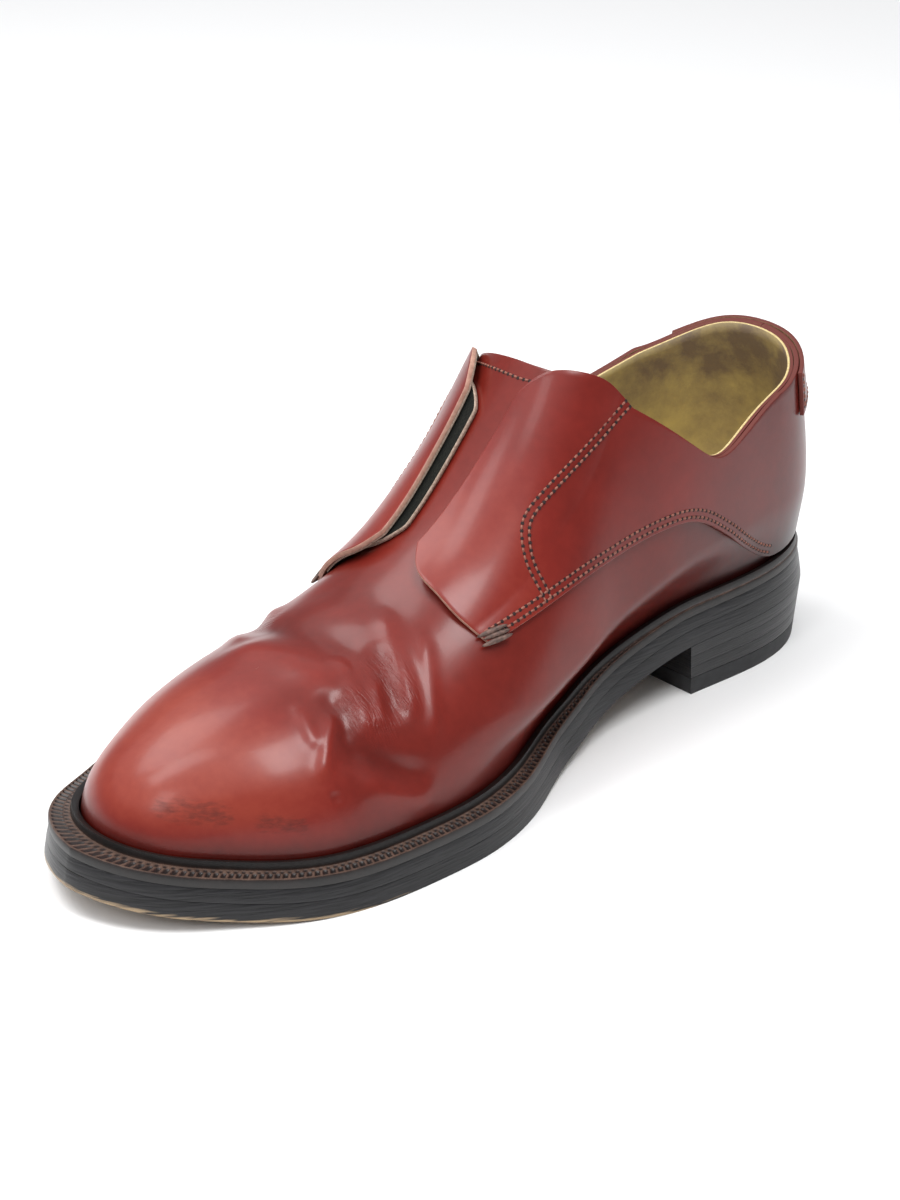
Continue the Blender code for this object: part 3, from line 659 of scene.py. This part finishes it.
# Quarters
# The two side panels, sewn over the vamp. Each ends in front in a broad flap with no eyelets, which
# lies loose over the tongue and is backed with a second layer.
FLAP_STAND, SEAM_RIB, FLAP_RIB, HEEL_RIB = 0.0032, 0.68, 0.72, 0.15
BACK_SEAM = GAP / (np.pi * UPPER_LENGTH)
QUARTER = (
    # rib, foot length, foot girth medial and lateral, top length, top girth medial and lateral
    (0.00, 0.000, 0.120, 0.120, 0.000, None, None),
    (0.08, 0.060, 0.120, 0.120, 0.055, None, None),
    (0.15, 0.115, 0.120, 0.120, 0.105, None, None),
    (0.22, 0.165, 0.250, 0.240, 0.150, None, None),
    (0.29, 0.215, 0.385, 0.370, 0.195, None, None),
    (0.36, 0.269, 0.495, 0.445, 0.235, None, None),
    (0.44, 0.335, 0.560, 0.480, 0.275, None, None),
    (0.52, 0.410, 0.613, 0.490, 0.310, None, None),
    (0.60, 0.500, 0.610, 0.468, 0.340, None, None),
    (0.68, 0.598, 0.560, 0.415, 0.363, None, None),
    (0.76, 0.612, 0.680, 0.550, 0.385, 0.865, 0.790),
    (0.84, 0.614, 0.790, 0.680, 0.408, 0.905, 0.845),
    (0.92, 0.610, 0.895, 0.790, 0.430, 0.945, 0.880),
    (1.00, 0.587, 0.970, 0.865, 0.451, 0.967, 0.900),
)
SIDES = (1, "medial"), (-1, "lateral")
QUARTER_TABLES = {}
for side in (1, -1):
    foot, top = (2, 5) if side > 0 else (3, 6)
    rows = []
    for row in QUARTER:
        top_girth = float(collar_girth(side, np.array(row[4]))) if row[top] is None else row[top]
        rows.append((row[0], row[1], row[foot], row[4], top_girth))
    QUARTER_TABLES[side] = np.array(rows)


def quarter_place(side, rib, up):
    """Length and girth shares at a rib of a quarter and a share of the way up it."""
    table = QUARTER_TABLES[side]
    corner = int(np.argmin(abs(table[:, 0] - SEAM_RIB)))
    behind, before = table[: corner + 1], table[corner:]
    columns = []
    for k in (1, 2, 3, 4):
        back = spline(behind[:, 0], behind[:, k], rib)
        front = spline(before[:, 0], before[:, k], rib)
        columns.append(np.where(rib < SEAM_RIB, back, front))
    foot_length, foot_girth, top_length, top_girth = columns
    return foot_length * (1 - up) + top_length * up, foot_girth * (1 - up) + top_girth * up


def flap_lift(rib):
    """How far a flap stands off the vamp, more towards its free front edge."""
    free = np.clip((rib - FLAP_RIB) / (1 - FLAP_RIB), 0, 1)
    return FLAP_STAND * free * (2 - free)


def on_quarter(side, rib, up, lift=0.0):
    """Point on the outer face of a quarter."""
    length, girth = quarter_place(side, rib, up)
    length = np.maximum(length, BACK_SEAM)
    return on_skin(side, length, girth, CURVED_GAP + QUARTER_WALL + flap_lift(rib) + lift)


quarter_leather = polished_calf("calf leather, polished, quarters", "2B0604", "742019", "9A4232", 0.30)
QUARTER_SHOWN = 0.0016
for side, ending in SIDES:
    quarter = grid_piece(
        "quarter_leather_" + ending,
        190,
        54,
        lambda u, v: on_quarter(side, u, v),
        (quarter_leather, flesh, raw_edge),
    )
    face_outwards(quarter, (0, 0.03, 0.05))
    spots = places_of(quarter)
    mm = (spots + CENTRE) * 1000
    # Painted shade: darker low down and towards the heel. Painted highlight: lighter on the flap
    low = smoothstep((62 - mm[:, 2]) / 34) * smoothstep((mm[:, 1] - 20) / 40)
    back, front = smoothstep((mm[:, 1] - 45) / 70), smoothstep((20 - mm[:, 1]) / 30)
    mark(quarter, "tone", np.clip(0.42 - 0.30 * low - 0.16 * back + 0.16 * front, 0, 1))
    thicken(quarter, QUARTER_SHOWN)
    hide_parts("quarter_" + ending)

# Flap backing and pads
# Under each flap lie a thin felt backing and a second felt pad, both dark green black and pressed flat.
# The pad's pale cut edge shows a few millimetres past the flap.
PAD_RIB, PAD_INSET, PAD_ROUNDING, PAD_WALL = 0.85, 0.09, 0.035, 0.0014
LATERAL_SHOW, MEDIAL_SHOW = 0.035, 0.007
# Start and span of the backing along the quarter's ribs and up them
BACKING_ALONG, BACKING_UP, BACKING_WALL, BACKING_GAP = (0.75, 0.246), (0.012, 0.976), 0.0007, 0.00003
# Nap about 0.7 mm across swallows highlights: nearly black on the face, dusty pale where it is cut
felt = mottled(
    "pile felt, matt",
    "050604",
    "171A13",
    1500.0,
    0.0004,
    ends=(0.35, 0.75),
    strength=0.8,
    Roughness=0.95,
    Specular_IOR_Level=0.2,
    Sheen_Weight=0.02,
    Sheen_Roughness=0.6,
)
felt_edge = mottled("felt, cut edge", "8C7868", "BEAA9A", 1200.0, 0.0002, Roughness=0.9)


def backing_place(side, u, v):
    rib, up = BACKING_ALONG[0] + BACKING_ALONG[1] * u, BACKING_UP[0] + BACKING_UP[1] * v
    return on_quarter(side, rib, up, -QUARTER_SHOWN - BACKING_GAP)


def pad_place(side, u, v):
    rib = PAD_RIB + (1 - PAD_RIB) * u
    rounding = PAD_ROUNDING * np.clip(1 - np.sqrt(np.clip(1 - u**4, 0, 1)), 0, 1)
    up = PAD_INSET + rounding + (1 - 2 * PAD_INSET - 2 * rounding) * v
    length, girth = quarter_place(side, rib, up)
    shown = LATERAL_SHOW if side < 0 else MEDIAL_SHOW
    return on_skin(side, length, girth + shown * u, CURVED_GAP + PAD_WALL)


for side, ending in SIDES:
    for name, rows, place_at, wall in (
        ("flap_backing_", 60, backing_place, BACKING_WALL),
        ("pad_", 40, pad_place, PAD_WALL),
    ):
        finishes = (felt, felt, felt_edge)
        sheet = grid_piece(name + ending, rows, 60, lambda u, v: place_at(side, u, v), finishes)
        face_outwards(sheet, (0, 0.0, 0.03))
        thicken(sheet, wall, 0.0)
    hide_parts("under_flap_" + ending)

# Back strap
# A narrow strip of the same calf sewn across the back of the collar, over both quarters.
STRAP_REACH, STRAP_HEIGHT, STRAP_WALL, STRAP_SHOWN, STRAP_TONE = 0.083, 0.014, 0.0011, 0.0014, 0.36


def on_strap(across, up, lift=0.0):
    """Point on the strap: across runs from the lateral end (-1) to the medial end (1)."""
    length = abs(across) * STRAP_REACH
    points = np.empty(np.shape(across) + (3,))
    for side in (1, -1):
        chosen = across >= 0 if side > 0 else across < 0
        if not chosen.any():
            continue
        collar = BACK_HEIGHT * spline(COLLAR[:, 0], COLLAR[:, 1 if side > 0 else 2], length[chosen])
        height = collar - STRAP_HEIGHT * (1 - up[chosen])
        raised = 2 * CURVED_GAP + QUARTER_WALL + STRAP_WALL + lift
        points[chosen] = at_height(side, length[chosen], height, raised)
    return points


strap = grid_piece(
    "collar_strap", 81, 18, lambda u, v: on_strap(2 * u - 1, v), (quarter_leather, flesh, raw_edge)
)
face_outwards(strap, (0, 0.10, 0.09))
mark(strap, "tone", np.full(len(strap.data.vertices), STRAP_TONE))
thicken(strap, STRAP_SHOWN)
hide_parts("back_strap")

# Welt
# A strip of dark brown leather sewn round the whole upper. A wheel has pressed ribs into its top,
# and its inner edge stands up against the upper as a smooth lip.
EDGE_FLARE, LIP_WIDTH = 0.0018, 0.0022
REACH = np.array((
    # length, medial, lateral shares of WELT_REACH
    (0.00, 0.38, 0.38),
    (0.25, 0.38, 0.38),
    (0.40, 0.48, 0.42),
    (0.52, 0.62, 0.48),
    (0.62, 0.70, 0.52),
    (0.72, 0.70, 0.55),
    (0.80, 0.70, 0.67),
    (0.90, 0.74, 0.68),
    (0.96, 0.84, 0.80),
    (1.00, 0.98, 0.98),
))


def distance_along(points):
    """Distance walked from the first point to each one."""
    return np.concatenate([[0], np.cumsum(np.linalg.norm(np.diff(points, axis=0), axis=1))])


def loop_points(count):
    """Evenly spaced loop round the upper's foot: points, outward directions, length shares and sides."""
    lengths = np.sort(np.concatenate([np.linspace(0, 1, 500), 1 - np.linspace(0, 0.06, 60)]))
    medial, lateral = at_height(1, lengths, 0.0), at_height(-1, lengths, 0.0)
    loop = np.concatenate([medial, lateral[-2:0:-1], medial[:1]])[:, :2]
    share = np.concatenate([lengths, lengths[-2:0:-1], lengths[:1]])
    inner_side = np.concatenate([np.ones(len(lengths)), np.zeros(len(lengths) - 1)])
    walked = distance_along(loop)
    even = np.linspace(0, walked[-1], count, endpoint=False)
    loop = np.stack([np.interp(even, walked, loop[:, k]) for k in (0, 1)], 1)
    share, inner_side = np.interp(even, walked, share), np.interp(even, walked, inner_side) > 0.5
    along = np.roll(loop, -3, 0) - np.roll(loop, 3, 0)
    along /= np.linalg.norm(along, axis=1, keepdims=True)
    out = np.stack([-along[:, 1], along[:, 0]], 1)
    out *= np.sign(((loop - loop.mean(0)) * out).sum())
    return loop, out, share, inner_side, even


def reach(share, inner_side):
    """How far the welt and sole stand out from the upper."""
    medial, lateral = (spline(REACH[:, 0], REACH[:, k], share) for k in (1, 2))
    return WELT_REACH * np.where(inner_side, medial, lateral)


WELT_STATIONS, RIB_PITCH = 2150, 0.0020
loop, out, share, inner_side, walked = loop_points(WELT_STATIONS)
wide = reach(share, inner_side) - EDGE_FLARE
PROFILE = [
    (part, along)
    for part, places in (
        ("foot", (0.0, 1.0)),
        ("edge", (0.25, 0.8)),
        ("arris", (0.0,)),
        ("shelf", (0.04, 0.10, 0.20, 0.32, 0.44, 0.56, 0.62, 0.68, 0.76, 0.84, 0.92, 1.0)),
        ("lip", (0.35, 0.8, 1.0)),
        ("top", (0.5, 1.0)),
    )
    for along in places
]
# Depths in metres: bulge and cut corner of the edge, outer ribs, inner ribs, their groove, the lip's lean
EDGE_BULGE, ARRIS_CUT, OUTER_RIB, INNER_RIB, RIB_GROOVE, LIP_LEAN = 15e-5, 25e-5, 55e-5, 30e-5, 30e-5, 5e-4


def welt_point(part, along):
    """Distance out from the upper and height of a point of the welt's section, at every station."""
    lip_out = LIP_WIDTH + CURVED_GAP
    if part == "foot":
        return CURVED_GAP + (wide - CURVED_GAP) * along, 0.0
    if part == "edge":
        return wide + EDGE_BULGE * np.sin(np.pi * along), WELT_THICKNESS * along
    if part == "arris":
        return wide - ARRIS_CUT, WELT_THICKNESS
    if part == "shelf":
        place = wide - 2 * ARRIS_CUT + (lip_out - wide + 2 * ARRIS_CUT) * along
        phase = 2 * np.pi * (walked / RIB_PITCH + 0.55 * along)
        outer = smoothstep((along - 0.05) / 0.06) * smoothstep((0.64 - along) / 0.06)
        inner = smoothstep((along - 0.66) / 0.06) * smoothstep((0.95 - along) / 0.06)
        outer = OUTER_RIB * outer * (0.5 - 0.5 * np.cos(phase))
        inner = INNER_RIB * inner * (0.5 + 0.5 * np.sin(phase + 1.2))
        groove = RIB_GROOVE * np.exp(-(((along - 0.65) / 0.03) ** 2))
        return place, WELT_THICKNESS - (outer + inner) - groove
    if part == "lip":
        return lip_out - LIP_LEAN * along**2, WELT_THICKNESS + LIP_HEIGHT * along * (1 - 0.04 * along)
    inwards = CURVED_GAP * 0.5 + (lip_out - 0.0006) * (1 - along)
    return inwards, WELT_THICKNESS + LIP_HEIGHT * (1 - 0.25 * along**2)


section_points = []
for part, along in PROFILE:
    _, distance, height = np.broadcast_arrays(wide, *welt_point(part, along))
    plan = loop + out * distance[:, None]
    section_points.append(np.column_stack([plan, floor_of_upper(plan[:, 1]) + height]))
section_points = np.array(section_points + section_points[:1])


def welt_place(u, v):
    station = np.rint(u * WELT_STATIONS).astype(int) % WELT_STATIONS
    level = np.rint(v * len(PROFILE)).astype(int)
    return section_points[level, station]


# The ribs' tops are rubbed brown and lighter by a painted highlight, and the grooves stay black with ink,
# dusted in patches of about 4 mm
welt_leather, tree, shader = new_material("welt leather, wheeled and inked", Roughness=0.42, IOR=1.5)
place = add(tree, "TexCoord").outputs["Object"]
dust = add(tree, "TexNoise", {"Vector": place, "Scale": 260.0, "Detail": 4.0})
rib_top_wear_and_highlight = add(tree, "Attribute", attribute_name="tone").outputs["Fac"]
tinted = add(tree, "Math", {0: dust, 1: 0.4, 2: rib_top_wear_and_highlight}, operation="MULTIPLY_ADD")
ramp = add(tree, "ValToRGB", {"Fac": tinted})
set_stops(ramp, (0.18, "0E0A09"), (1.0, "735A4D"), (0.55, "241815"))
connect(tree, shader, {"Base Color": ramp})
size = WELT_STATIONS + 1, len(PROFILE) + 1
welt = grid_piece("storm_welt", *size, welt_place, (welt_leather,), merge=5e-6)
spots = places_of(welt)
rise = (spots[:, 2] - floor_of_upper(spots[:, 1])) * 1000
# Rib tops lighter: rubbed wear and a painted highlight together
ribs = smoothstep((rise - 2.58) / 0.36) * (rise < 3.02)
mark(welt, "tone", 0.02 + 0.52 * ribs)
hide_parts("welt")

# Midsole, outsole and heel
# Layers of sole leather, cut together, inked black and waxed. The outsole flares a little outwards,
# and its lowest edge is worn back to bare tan leather at the toe.
TOP_LIFT_THICKNESS, HEEL_TAPER, BREAST_LEAN = 0.0060, 0.0015, 0.0030
# Black ink and wax over level fibres give a dull sheen. The tread face is bare leather, scuffed in patches.
sole_edge, tree, shader = new_material(
    "sole leather edge, inked and waxed", Roughness=0.36, Specular_IOR_Level=0.4
)
place = add(tree, "TexCoord").outputs["Object"]
flat_fibres = add(tree, "Mapping", {"Vector": place, "Scale": (90.0, 90.0, 1600.0)})
fibres = add(tree, "TexNoise", {"Vector": flat_fibres, "Scale": 1.0, "Detail": 5.0})
bare = add(tree, "Attribute", attribute_name="bare").outputs["Fac"]
ramp = add(tree, "ValToRGB", {"Fac": fibres})
set_stops(ramp, (0.3, "0A0A0B"), (0.8, "232225"))
ragged = add(tree, "Math", {0: fibres, 1: bare}, operation="MULTIPLY")
ragged = add(tree, "MapRange", {"Value": ragged, "From Min": 0.28, "From Max": 0.46})
colour = add(tree, "Mix", {"Factor": ragged, 6: ramp, 7: linear("9A8468")}, data_type="RGBA").outputs[2]
bumped = add(tree, "Bump", {"Height": fibres, "Strength": 0.5, "Distance": 0.0003})
connect(tree, shader, {"Base Color": colour, "Normal": bumped})
tread = mottled(
    "sole leather, scuffed tread", "3B2C20", "8F7658", 60.0, 0.0, ends=(0.0, 1.0), detail=7.0, Roughness=0.7
)

# Medial half of a layer's section: chord below, edge up, chord above. The lateral half mirrors it.
HALF_LOOP = (
    # share of the half chord, share of the height, rounding inwards in mm
    (0.0, 0.0, 0.0),
    (0.5, 0.0, 0.0),
    (0.96, 0.0, 0.0),
    (1.0, 0.0, 0.07),
    (1.0, 0.10, 0.0),
    (1.0, 0.5, 0.0),
    (1.0, 0.92, 0.0),
    (1.0, 1.0, 0.07),
    (0.96, 1.0, 0.0),
    (0.5, 1.0, 0.0),
    (0.0, 1.0, 0.0),
)
LAYER_LOOP = HALF_LOOP + tuple((-across, *rest) for across, *rest in HALF_LOOP[-2:0:-1])
SOLE_ROWS, HEEL_ROWS = 241, 131
row_lengths = np.concatenate([
    HEEL_CENTRE * np.linspace(0, 1, 51),
    np.linspace(HEEL_CENTRE, TOE_CENTRE, 121)[1:],
    np.linspace(TOE_CENTRE, 1, 71)[1:],
])
# The upper's foot line on each side, with its outward directions
FOOT_LINES = {}
for side in (1, -1):
    line = at_height(side, row_lengths, 0.0)[:, :2]
    step = np.gradient(line, axis=0)
    step[0], step[-1] = (side, 0), (-side, 0)
    step /= np.linalg.norm(step, axis=1, keepdims=True)
    out = np.stack([step[:, 1], -step[:, 0]], 1) * -side
    FOOT_LINES[side] = line, out


def layer(name, low_inset, high_inset, low, high, materials, rows=SOLE_ROWS):
    """Closed plate of sole leather between two height functions, drawn in by insets below and above."""
    levels = []
    for across, rise, rounding in LAYER_LOOP:
        inset = low_inset + (high_inset - low_inset) * rise + rounding / 1000
        ends = {}
        for side in (1, -1):
            line, out = FOOT_LINES[side]
            distance = reach(row_lengths, side > 0) - inset
            ends[side] = line + out * distance[:, None]
        plan = (ends[1] + ends[-1]) / 2 + (ends[1] - ends[-1]) / 2 * across
        z = low(plan[:, 1]) + (high(plan[:, 1]) - low(plan[:, 1])) * rise
        levels.append(np.column_stack([plan, z])[:rows])
    levels = np.array(levels + levels[:1])

    def place(u, v):
        return levels[np.rint(v * len(LAYER_LOOP)).astype(int), np.rint(u * (rows - 1)).astype(int)]

    return grid_piece(name, rows, len(LAYER_LOOP) + 1, place, materials, merge=5e-6)


# Fine gaps that show as seams: under and over the midsole, over and under the heel, between its layers
MIDSOLE_SEAMS, HEEL_SEAMS, LAYER_SEAM = (0.0001, 0.0002), (0.00015, 0.0001), 0.00004
sole_top = OUTSOLE_THICKNESS + MIDSOLE_THICKNESS + GAP


def outsole_top(y):
    return underside(y) + OUTSOLE_THICKNESS


outsole = layer("outsole_leather", 0.0, 0.5 * EDGE_FLARE, underside, outsole_top, (sole_edge, tread))
spots = places_of(outsole)
low = np.exp(-(((spots[:, 2] - underside(spots[:, 1])) / 0.0011) ** 2))
front = smoothstep((-0.045 - spots[:, 1]) / 0.05)
mark(outsole, "bare", np.clip(low * (0.25 + 0.75 * front), 0, 1))
for face in outsole.data.polygons:
    if face.normal.z < -0.9:
        face.material_index = 1
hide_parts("outsole")
midsole = layer(
    "midsole_leather",
    0.5 * EDGE_FLARE,
    EDGE_FLARE,
    lambda y: outsole_top(y) + MIDSOLE_SEAMS[0],
    lambda y: underside(y) + sole_top + MIDSOLE_SEAMS[1],
    (sole_edge,),
)
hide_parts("midsole")


def cut_breast(piece):
    """Cuts a heel layer off at the leaning front face of the heel and closes the cut."""
    work = bmesh.new()
    work.from_mesh(piece.data)
    normal = Vector((0, -1, -BREAST_LEAN / HEEL_HEIGHT)).normalized()
    middle = Vector((0, SOLE_LENGTH / 2 - HEEL_LENGTH, 0)) + Vector(CENTRE)
    parts = work.verts[:] + work.edges[:] + work.faces[:]
    cut = bmesh.ops.bisect_plane(
        work, geom=parts, dist=1e-6, plane_co=middle, plane_no=normal, clear_outer=True
    )
    rim = [e for e in cut["geom_cut"] if isinstance(e, bmesh.types.BMEdge)]
    bmesh.ops.holes_fill(work, edges=rim, sides=0)
    bmesh.ops.triangulate(work, faces=[f for f in work.faces if len(f.verts) > 4])
    bmesh.ops.recalc_face_normals(work, faces=work.faces)
    work.to_mesh(piece.data)
    work.free()
    piece.data.shade_smooth()
    piece.data.set_sharp_from_angle(angle=np.radians(40))


def heel_level(share, gap):
    """Height function of a share of the way up the heel stack."""
    base = TOP_LIFT_THICKNESS + HEEL_SEAMS[0]
    return lambda y: base + (underside(y) - HEEL_SEAMS[1] - base) * share + gap


HEEL_LAYERS, STACK_TAPER = 3, HEEL_TAPER * 0.7
# Moulded rubber is dark grey, with a weak and broad sheen
heel_rubber = mottled("rubber, moulded, worn matt", "111113", "202023", 350.0, 0.0001, Roughness=0.6)
top_lift = layer(
    "top_lift",
    HEEL_TAPER,
    STACK_TAPER,
    lambda y: 0 * y,
    lambda y: 0 * y + TOP_LIFT_THICKNESS,
    (heel_rubber,),
    HEEL_ROWS,
)
cut_breast(top_lift)
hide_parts("heel_top_lift")
for number in range(HEEL_LAYERS):
    shares = number / HEEL_LAYERS, (number + 1) / HEEL_LAYERS
    made = layer(
        "heel_layer_%d" % (number + 1),
        STACK_TAPER * (1 - shares[0]),
        STACK_TAPER * (1 - shares[1]),
        heel_level(shares[0], LAYER_SEAM),
        heel_level(shares[1], -LAYER_SEAM),
        (sole_edge,),
        HEEL_ROWS,
    )
    cut_breast(made)
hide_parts("heel_stack")

# Sock
# Lining leather glued over the insole. It keeps the shape of the solid below it.
frame_sock = bpy.data.objects["insole"]
frame_sock.data.materials.clear()
frame_sock.data.materials.append(lining_leather)

# Stitching
# Waxed thread in tan pink, sunk into the leather, with a dark needle hole at each end of a stitch.
# Double rows run along the flaps and the lower edge of the quarters, single rows on tongue and strap.
STITCH_PITCH, THREAD_RADIUS = 0.0022, 0.00040
# Half a stitch as a share of its pitch. A hole's half sizes, and how far it lies beside the thread.
HALF_STITCH, HOLE, HOLE_SHIFT = 0.36, (THREAD_RADIUS * 1.5, THREAD_RADIUS * 1.4, 0.00012), 0.0001
# Waxed plies wind tan over dark red, and a pricked hole is painted shade: a dark point with no shine
thread = mottled(
    "waxed thread, twisted", "541F17", "A56B58", 900.0, 0.0, ends=(0.0, 1.0), detail=2.0, Roughness=0.55
)
needle_hole = mottled("needle hole, in shadow", "120404", "260B09", 1500.0, 0.0001, Roughness=0.8)


def bead(work, around, along, placed):
    """Ball that its matrix draws out into a stitch, a hole or a turn of thread."""
    bmesh.ops.create_uvsphere(work, u_segments=around, v_segments=along, radius=1, matrix=placed)


def sew(name, rows):
    """Stitches along rows of dense points on the surface."""
    threads, holes = bmesh.new(), bmesh.new()
    for row in rows:
        walked = distance_along(row)
        count = max(2, int(round(walked[-1] / STITCH_PITCH)))
        ends = np.linspace(0, walked[-1], count + 1)
        knots = np.stack([np.interp(ends, walked, row[:, k]) for k in range(3)], 1)
        outward = normals_at(knots)
        for i in range(count):
            start, end = Vector(knots[i]), Vector(knots[i + 1])
            up = Vector(outward[i]).normalized()
            along = (end - start).normalized()
            across = up.cross(along).normalized()
            turn = Matrix((across, along, up)).transposed().to_4x4()
            middle = Matrix.Translation((start + end) / 2 + Vector(CENTRE))
            half = (end - start).length * HALF_STITCH
            thin = Matrix.Diagonal((THREAD_RADIUS, half, THREAD_RADIUS * 0.9, 1))
            bead(threads, 6, 5, middle @ turn @ thin)
            spot = Matrix.Translation(start + Vector(CENTRE) + across * HOLE_SHIFT)
            flat = Matrix.Diagonal((*HOLE, 1))
            bead(holes, 7, 4, spot @ turn @ flat)
    sewn = finish_piece(name, threads, (thread,))
    pricked = finish_piece(name + "_holes", holes, (needle_hole,))


def settled(points, lift):
    """Points near the skin moved to a height above it."""
    for _ in range(2):
        slope = slope_at(points) / (2 * SLOPE_STEP)
        steep = np.linalg.norm(slope, axis=-1)
        points = points - slope * ((outside(points) / steep - lift) / steep)[:, None]
    return points


def beside(line, distance, lift):
    """Row at a distance beside a line on the leather."""
    along = np.gradient(line, axis=0)
    along /= np.linalg.norm(along, axis=1, keepdims=True)
    return settled(line + np.cross(normals_at(line), along) * distance, lift)


# The flap's seam line, from the collar down to the lower seam
FLAP_SEAM = np.array((
    # length and girth shares, medial and then lateral
    (0.369, 0.825, 0.388, 0.763),
    (0.410, 0.828, 0.425, 0.755),
    (0.456, 0.825, 0.460, 0.735),
    (0.495, 0.815, 0.500, 0.688),
    (0.513, 0.790, 0.512, 0.640),
    (0.522, 0.740, 0.520, 0.580),
    (0.523, 0.690, 0.520, 0.520),
    (0.519, 0.613, 0.513, 0.463),
))
# Distances of the two rows beside the flap's seam line, and in from the quarter's lower edge
FLAP_ROWS, EDGE_ROWS = (-0.0011, 0.0011), (0.0016, 0.0038)
quarter_lift = CURVED_GAP + QUARTER_WALL
rib_grid, up_grid = np.meshgrid(np.linspace(0.45, 1, 220), np.linspace(0, 1, 90))
rib_grid, up_grid = rib_grid.ravel(), up_grid.ravel()


def rib_at(side, length, girth):
    """Rib of a quarter that passes a point given by its length and girth shares."""
    lengths, girths = quarter_place(side, rib_grid, up_grid)
    away = (lengths - length[:, None]) ** 2 + (0.6 * (girths - girth[:, None])) ** 2
    return rib_grid[away.argmin(axis=1)]


for side, ending in SIDES:
    marks = FLAP_SEAM[:, :2] if side > 0 else FLAP_SEAM[:, 2:]
    fine = np.linspace(0, len(marks) - 1, 240)
    length, girth = (spline(np.arange(len(marks)), marks[:, k], fine) for k in (0, 1))
    lift = quarter_lift + flap_lift(rib_at(side, length, girth))
    line = on_skin(side, length, girth, lift)
    rows = [beside(line, apart, lift) for apart in FLAP_ROWS]
    rib = np.linspace(HEEL_RIB + 0.01, SEAM_RIB, 400)
    edge = on_quarter(side, rib, 0.0 * rib)
    rows += [beside(edge, -side * inward, quarter_lift) for inward in EDGE_ROWS]
    sew("quarter_stitching_" + ending, rows)

TONGUE_INSET, STRAP_ROW, STRAP_ENDS = 0.0105, 0.14, (-0.955, 0.955)
tongue_row = []
for side in (1, -1):
    length = TONGUE_REACH - (TONGUE_REACH - COLLAR_FRONT) * np.linspace(0, 0.9, 90) ** 2
    girth = edge_girth(side, length)
    tongue_row.append(on_skin(side, length + TONGUE_INSET, np.clip(girth + 0.004, 0, 1), 0.00005))
sew("tongue_stitching", [np.concatenate([tongue_row[0][::-1], tongue_row[1][1:]])])

across, rise = np.linspace(-0.96, 0.96, 200), np.linspace(STRAP_ROW, 0.95, 60)
strap_rows = [on_strap(across, np.full_like(across, STRAP_ROW))]
strap_rows += [on_strap(np.full_like(rise, end), rise) for end in STRAP_ENDS]
sew("strap_stitching", strap_rows)

# Bar tacks
# At each quarter's front corner a few turns of thick thread bind the quarter to the vamp.
TACK_RADII, TACK_BACK, TACK_DROP, TACK_RISE = (0.0008, 0.0009), 0.0072, 0.0014, 0.0005
TACK_LIFTS = np.array((0.0010, quarter_lift + 0.0004))
# Dark waxed plies with a dull shine
cord_thread = mottled("bar tack thread, waxed", "33231E", "6E544A", 900.0, 0.0003, Roughness=0.6)
for side, ending in SIDES:
    turns = bmesh.new()
    edge = on_quarter(side, np.array([SEAM_RIB - 0.004, SEAM_RIB]), np.zeros(2))
    corner, forward = edge[1], (edge[1] - edge[0]) / np.linalg.norm(edge[1] - edge[0])
    inward = -side * np.cross(normals_at(edge[1:])[0], forward)
    # Each turn's distance in from the edge, and how far it reaches over the vamp
    for beside_edge, reaches in ((0.0006, 0.0026), (0.0021, 0.0012), (0.0036, 0.0024)):
        ends = np.array((corner + forward * reaches, corner - forward * TACK_BACK)) + inward * beside_edge
        ends[1] -= inward * TACK_DROP
        start, back = settled(ends, TACK_LIFTS)
        up = Vector(normals_at(corner[None, :])[0])
        along, lift = Vector(start - back), up * TACK_RISE
        across = up.cross(along).normalized()
        up = across.cross(along).normalized()
        turn = Matrix((across, along.normalized(), up)).transposed().to_4x4()
        middle = Matrix.Translation(Vector((start + back) / 2 + CENTRE) + lift)
        scale = Matrix.Diagonal((TACK_RADII[0], along.length / 2, TACK_RADII[1], 1))
        bead(turns, 12, 14, middle @ turn @ scale)
    tack = finish_piece("bar_tack_" + ending, turns, (cord_thread,))
